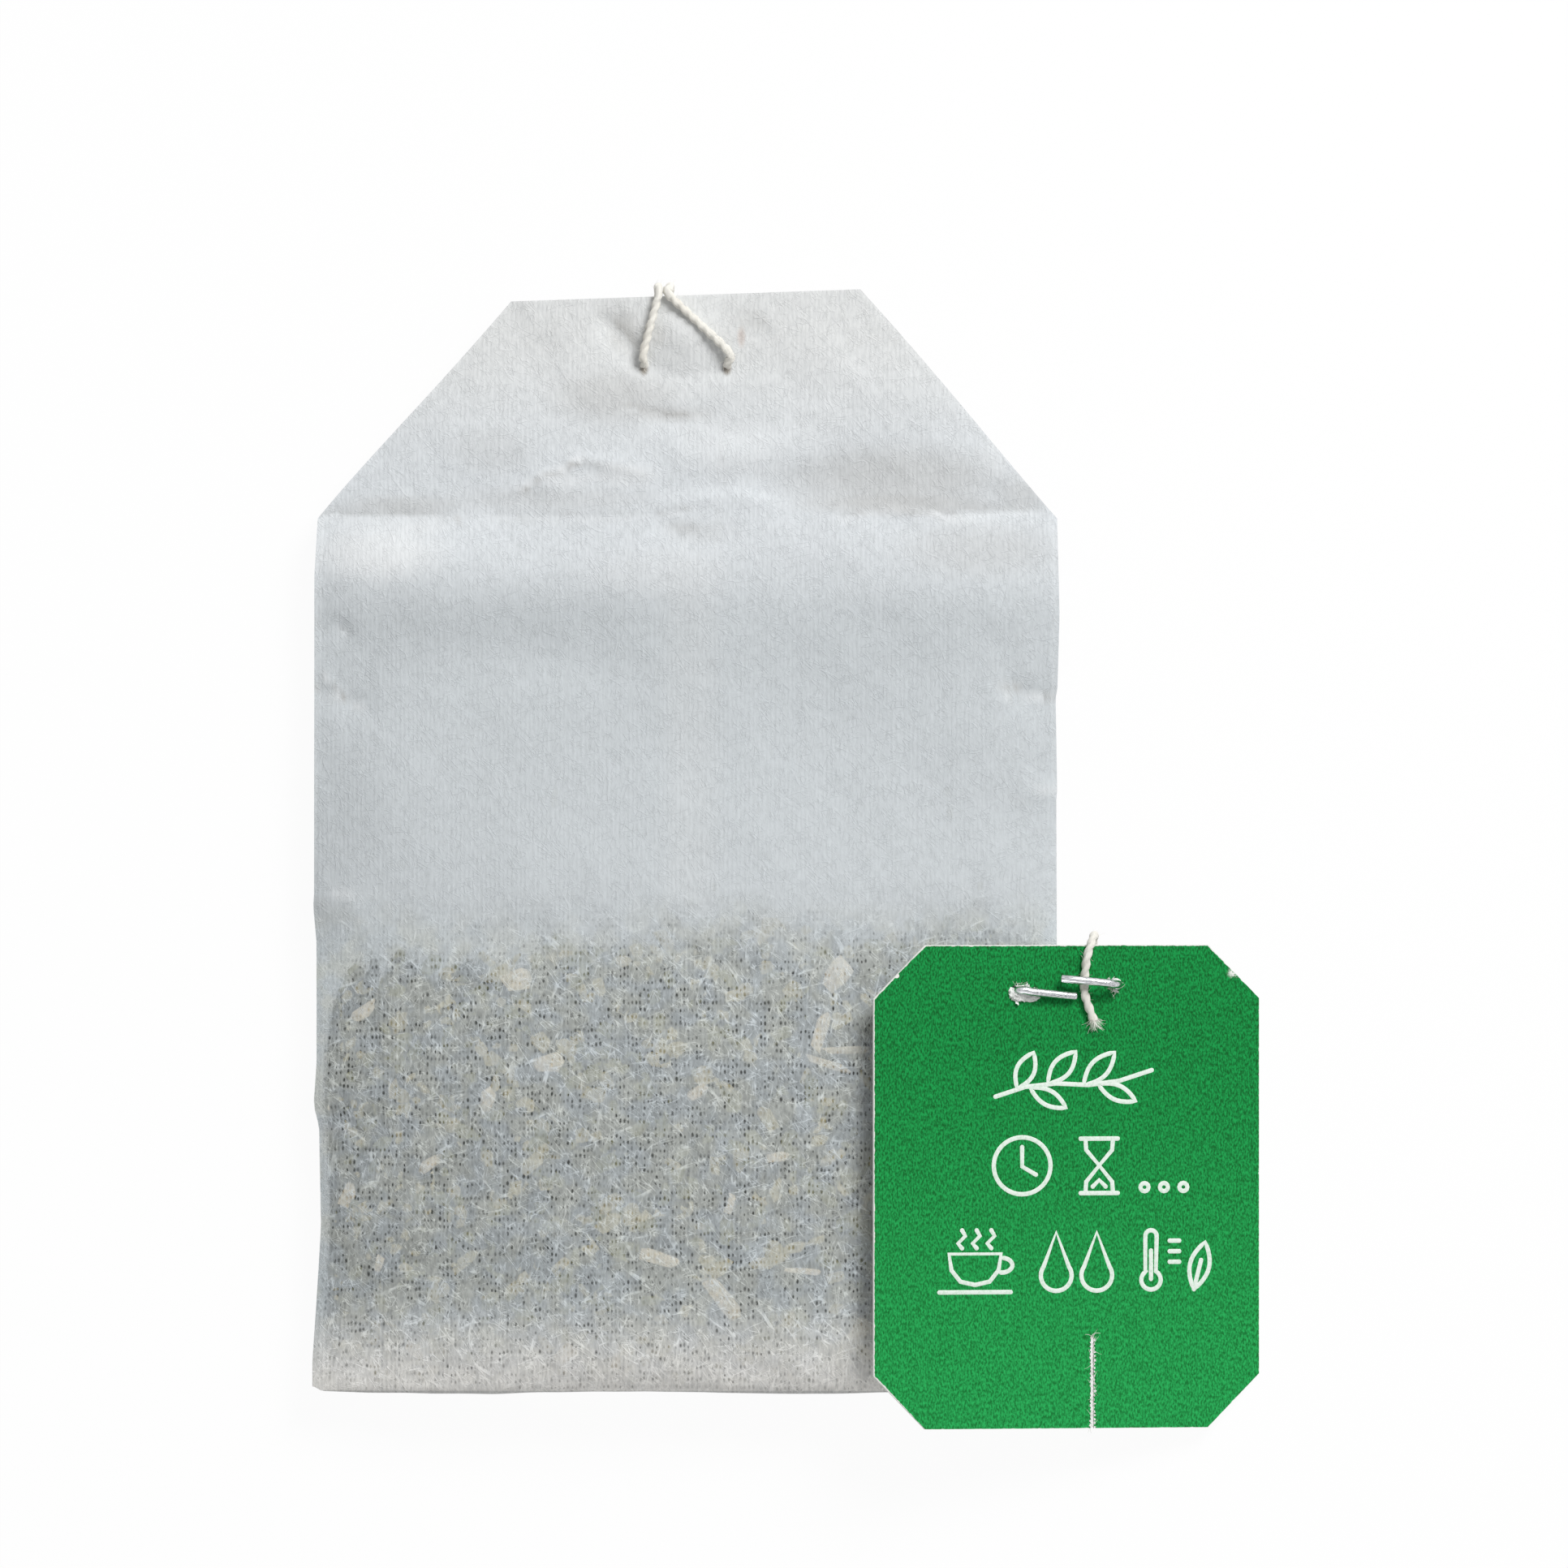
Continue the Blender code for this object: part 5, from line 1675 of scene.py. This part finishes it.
def torn_card(look):
    """Torn scraps at the staple's holes and along the slit."""
    luck = random.Random(5)
    shape = bmesh.new()
    spots = (
        (-STAPLE_SPAN / 2 + 0.50 * MM, STAPLE_Y - 0.36 * MM, 16, 0.60),
        (STAPLE_SPAN / 2 - 0.25 * MM, STAPLE_Y + 0.12 * MM, 12, 0.42),
    )
    for x, y, count, size in spots:
        for number in range(count):
            heading = luck.uniform(0, 2 * math.pi)
            turn = luck.uniform(0, 2 * math.pi)
            off = luck.uniform(0.0, 0.75) * MM
            near = (x + off * math.cos(heading) * 1.1, y + off * math.sin(heading) * 0.7)
            size_here = (luck.uniform(0.5, 1.0) * size * MM, luck.uniform(0.35, 0.7) * size * MM)
            lift = luck.uniform(0.02, 0.28) * MM
            torn_flake(shape, *near, turn, *size_here, lift, number + int(x * 1e5))
    for number in range(SLIT_FLAKES):
        y = -TAG_HEIGHT / 2 + SLIT_LENGTH * (number + 0.5) / SLIT_FLAKES
        side = -1 if number % 2 else 1
        heading = luck.uniform(-0.5, 0.5) + (0.0 if side < 0 else math.pi)
        x = SLIT_X + side * 0.10 * MM
        size_here = (luck.uniform(0.03, 0.13) * MM, luck.uniform(0.10, 0.22) * MM)
        lift = luck.uniform(0.01, 0.05) * MM
        torn_flake(shape, x, y, heading + math.pi, *size_here, lift, 300 + number)
    bmesh.ops.recalc_face_normals(shape, faces=shape.faces)
    bmesh.ops.solidify(shape, geom=shape.faces[:], thickness=FLAKE_THICKNESS)
    for side, from_x, from_y, size, number in TORN_LUMPS:
        x = side * STAPLE_SPAN / 2 + from_x * MM
        torn_lump(shape, x, STAPLE_Y + from_y * MM, Vector(size) * MM, number)
    bmesh.ops.recalc_face_normals(shape, faces=shape.faces)
    bmesh.ops.transform(shape, matrix=on_tag(), verts=shape.verts)
    piece = mesh_object("torn_card_bits", shape, [look], 50)
    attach(piece, "root")


def torn_hairs(look):
    """Loose paper fibres in the slit and at the staple."""
    luck = random.Random(8)
    shape = bmesh.new()
    face = TAG_THICKNESS / 2
    for _ in range(SLIT_HAIRS):
        y = -TAG_HEIGHT / 2 + SLIT_LENGTH * luck.random()
        start = Vector((SLIT_X + luck.uniform(-0.08, 0.08) * MM, y, face - 0.02 * MM))
        heading = Vector((luck.uniform(-0.7, 0.7), luck.choice((-1, 1)), luck.uniform(0.0, 0.2)))
        length, bend = luck.uniform(0.3, 0.9) * MM, random_direction(luck) * 0.8
        hair(shape, start, heading, length, bend, 0.035 * MM)
    hook_at = Vector((SLIT_X - 0.05 * MM, -TAG_HEIGHT / 2 + SLIT_LENGTH - 0.1 * MM, face))
    hair(shape, hook_at, Vector((-0.7, 1.0, 0.3)), 0.9 * MM, Vector((2.6, -1.4, 0.0)), 0.07 * MM)
    hair(shape, hook_at, Vector((0.3, 1.0, 0.3)), 0.7 * MM, Vector((-2.4, -1.0, 0.0)), 0.06 * MM)
    for side, count in ((-1, 22), (1, 26)):
        for _ in range(count):
            x = side * (STAPLE_SPAN / 2 - luck.uniform(0.0, 0.6) * MM)
            y = STAPLE_Y + luck.uniform(-0.5, 0.4) * MM
            start = Vector((x, y, face + 0.05 * MM))
            heading = Vector((luck.uniform(-1, 1), luck.uniform(-1, 1), luck.uniform(0.1, 0.7)))
            length, bend = luck.uniform(0.3, 0.9) * MM, random_direction(luck) * 1.8
            hair(shape, start, heading, length, bend, 0.03 * MM)
    bmesh.ops.recalc_face_normals(shape, faces=shape.faces)
    bmesh.ops.transform(shape, matrix=on_tag(), verts=shape.verts)
    piece = mesh_object("torn_card_hairs", shape, [look], 80)
    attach(piece, "root")


# The marks are drawn on a grid of small steps, from just below the tag's middle
PRINT_STEP = 0.0547 * MM
PRINT_LOWER = 0.0081 * MM
STROKE_RADIUS = 0.150 * MM
INK_HEIGHT = 0.016 * MM
# How a stroke's end is rounded: how far out, share of the radius
ROUND_END = ((0.95, 0.25), (0.7, 0.71), (0.35, 0.94))


def arc(centre, radii, start, end, steps=18):
    """Points on an oval, angles in degrees."""
    angles = [math.radians(mix(start, end, step / steps)) for step in range(steps + 1)]
    return [(centre[0] + radii[0] * math.cos(a), centre[1] + radii[1] * math.sin(a)) for a in angles]


def leaf_outline(base, tip, width):
    """A pointed leaf from its base to its tip."""
    along = Vector(tip) - Vector(base)
    across = Vector((-along.y, along.x)).normalized() * width
    there, back = [], []
    for step in range(13):
        share = step / 12
        bow = math.sin(math.pi * share) ** 0.9
        there.append(tuple(Vector(base) + along * share + across * bow))
        back.append(tuple(Vector(base) + along * share - across * bow))
    return there + back[::-1]


def pictogram_strokes():
    """Generic marks in three rows, such as a twig, a clock and a cup."""
    strokes = []
    # The twig
    strokes.append([(-88, -111), (-51, -123), (-13, -127), (27, -125), (65, -130), (105, -143)])
    strokes += [
        leaf_outline((-61, -121), (-41, -165), 11),
        leaf_outline((-23, -127), (11, -166), 11),
        leaf_outline((21, -125), (59, -165), 11),
        leaf_outline((-45, -122), (-1, -97), 9),
        leaf_outline((39, -126), (85, -105), 9),
    ]
    # The clock
    strokes.append(arc((-55, -26), (35, 35), 0, 360, 40))
    strokes.append([(-55, -49), (-55, -25), (-38, -15)])
    # The sand glass
    strokes.append([(17, -59), (63, -59)])
    strokes.append([(17, 8), (63, 8)])
    strokes.append([(23, -59), (24, -45), (40, -26), (24, -6), (23, 8)])
    strokes.append([(57, -59), (56, -45), (40, -26), (56, -6), (57, 8)])
    strokes.append([(32, 0), (40, -8), (48, 0)])
    # Three small rings
    for centre_x in (96, 120, 144):
        strokes.append(arc((centre_x, 1), (5, 5), 0, 360, 12))
    # The cup, its saucer and steam
    left_side = [(-145, 82), (-142, 102), (-131, 116)]
    right_side = [(-95, 116), (-84, 102), (-81, 82)]
    strokes.append(left_side + [(-113, 120)] + right_side + [(-145, 82)])
    strokes.append(arc((-80, 96), (13, 9), -80, 95, 12))
    strokes.append([(-157, 129), (-69, 129)])
    for start_x in (-129, -111, -93):
        strokes.append([(start_x, 75), (start_x - 5, 69), (start_x + 4, 60), (start_x, 53)])
    # Drops
    for centre_x in (-13, 37):
        drop = arc((centre_x, 109), (19, 19), -145, -395, 22)
        strokes.append([(centre_x, 56)] + drop + [(centre_x, 56)])
    # The thermometer
    bulb = arc((104, 115), (12, 12), -60, 240, 20)
    round_end = arc((104, 61), (7, 7), 180, 360, 10)
    strokes.append(bulb + [(97, 104), (97, 61)] + round_end + [(111, 104)])
    strokes.append([(104, 79), (104, 114)])
    for height in (67, 80, 93):
        strokes.append([(127, height), (139, height)])
    # A small leaf at the end of the row
    strokes.append(leaf_outline((157, 127), (171, 69), 12))
    strokes.append([(157, 127), (166, 91)])
    return strokes


def rounded_stroke(points, radius):
    """A stroke's points with extra ones near its ends, and the share of the radius at each."""
    line = [Vector((*point, 0.0)) for point in points]
    if (line[0] - line[-1]).length < radius / 2:
        return [(point, 1.0) for point in line]
    made = []
    for end, ahead in ((line[0], line[1]), (line[-1], line[-2])):
        way = (end - ahead).normalized()
        made.append([(end + way * radius * out, share) for out, share in ROUND_END])
    return made[0] + [(point, 1.0) for point in line] + made[1][::-1]


def printed_marks(look):
    """The printed marks as thin raised strokes on the tag's face."""
    curve = bpy.data.curves.new("marks", "CURVE")
    curve.dimensions = "3D"
    curve.bevel_depth = STROKE_RADIUS
    curve.bevel_resolution = 2
    curve.use_fill_caps = True
    for stroke in pictogram_strokes():
        line = [seen_on_tag(*place) for place in stroke]
        points = rounded_stroke(line, STROKE_RADIUS)
        closed = (Vector(line[0]) - Vector(line[-1])).length < STROKE_RADIUS / 2
        if closed:
            points = points[:-1]
        spline = curve.splines.new("POLY")
        spline.points.add(len(points) - 1)
        spline.use_cyclic_u = closed
        for point, (place, share) in zip(spline.points, points):
            point.co = (*place, 1.0)
            point.radius = share
    holder = link_object("marks", curve)
    mesh = bpy.data.meshes.new_from_object(holder.evaluated_get(bpy.context.evaluated_depsgraph_get()))
    bpy.data.objects.remove(holder, do_unlink=True)
    shape = bmesh.new()
    shape.from_mesh(mesh)
    bpy.data.meshes.remove(mesh)
    for vertex in shape.verts:
        vertex.co.z = vertex.co.z / STROKE_RADIUS * INK_HEIGHT + TAG_THICKNESS / 2
    bmesh.ops.remove_doubles(shape, verts=shape.verts, dist=0.002 * MM)
    bmesh.ops.recalc_face_normals(shape, faces=shape.faces)
    bmesh.ops.transform(shape, matrix=on_tag(), verts=shape.verts)
    piece = mesh_object("tag_marks", shape, [look], 60)
    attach(piece, "root")


# Floor and sky

def seen_straight(tree):
    """1 where the camera sees a thing, also in metal and through glass, 0 for other light."""
    path = node(tree, "ShaderNodeLightPath").outputs
    seen = maths(tree, "ADD", path["Is Camera Ray"], path["Is Glossy Ray"])
    return maths(tree, "ADD", seen, path["Is Transmission Ray"], clamp=True)


def floor():
    """A plain white floor that keeps the soft shadow."""
    shape = bmesh.new()
    bmesh.ops.create_grid(shape, x_segments=1, y_segments=1, size=FLOOR_HALF)
    look = bpy.data.materials.new("floor_white")
    look.use_nodes = True
    tree = look.node_tree
    tree.nodes.clear()
    out = node(tree, "ShaderNodeOutputMaterial")
    diffuse = node(tree, "ShaderNodeBsdfDiffuse")
    diffuse.inputs[0].default_value = FLOOR_GREY
    glow = node(tree, "ShaderNodeEmission")
    glow.inputs["Strength"].default_value = 1.0
    share = maths(tree, "MULTIPLY", seen_straight(tree), FLOOR_WHITE)
    both = node(tree, "ShaderNodeMixShader")
    feed(tree, both.inputs[0], share)
    tree.links.new(diffuse.outputs[0], both.inputs[1])
    tree.links.new(glow.outputs[0], both.inputs[2])
    tree.links.new(both.outputs[0], out.inputs[0])
    piece = mesh_object("floor", shape, [look])
    piece.location.z = -FLOOR_DROP


def sky():
    """Even light from all round, white where the camera sees it."""
    world = bpy.data.worlds.new("sky")
    bpy.context.scene.world = world
    world.use_nodes = True
    tree = world.node_tree
    tree.nodes.clear()
    out = node(tree, "ShaderNodeOutputWorld")
    back = node(tree, "ShaderNodeBackground")
    strength = ramp(tree, seen_straight(tree), 0.0, 1.0, SKY_STRENGTH, 1.0)
    tree.links.new(strength, back.inputs["Strength"])
    tree.links.new(back.outputs[0], out.inputs[0])


def build():
    """Makes the whole scene."""
    scene = bpy.context.scene
    scene.view_settings.view_transform = "Standard"
    camera()
    groups = {"grain": grain_group(), "fibres": fibre_group()}
    hairs_look = fuzz_material()
    thread, line, length = thread_piece(cotton_material(groups))
    hairs = thread_hairs(line, hairs_look)
    filter_paper(paper_material(groups))
    looks = [leaf_material(*look, groups) for look in LEAF_LOOKS]
    tea_piece("tea_front", "tea_fill_front", 0, 1, FRONT_BITS, 3, looks)
    tea_piece("tea_rear", "tea_fill_rear", 3, 2, REAR_BITS, 4, looks)
    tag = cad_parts["tag"]
    card = card_material(groups)
    for slot in tag.material_slots:
        slot.material = card
    torn = torn_material(groups)
    torn_card(torn)
    torn_hairs(hairs_look)
    staple_piece(wire_material(groups))
    printed_marks(ink_material(groups))
    floor()
    sky()
    middle = Vector((CAMERA_AT.x, CAMERA_AT.y, 0.0))
    lamp("key", KEY_AT, KEY_SIZE, KEY_POWER, middle)
    lamp("fill", FILL_AT, FILL_SIZE, FILL_POWER, middle)


build()
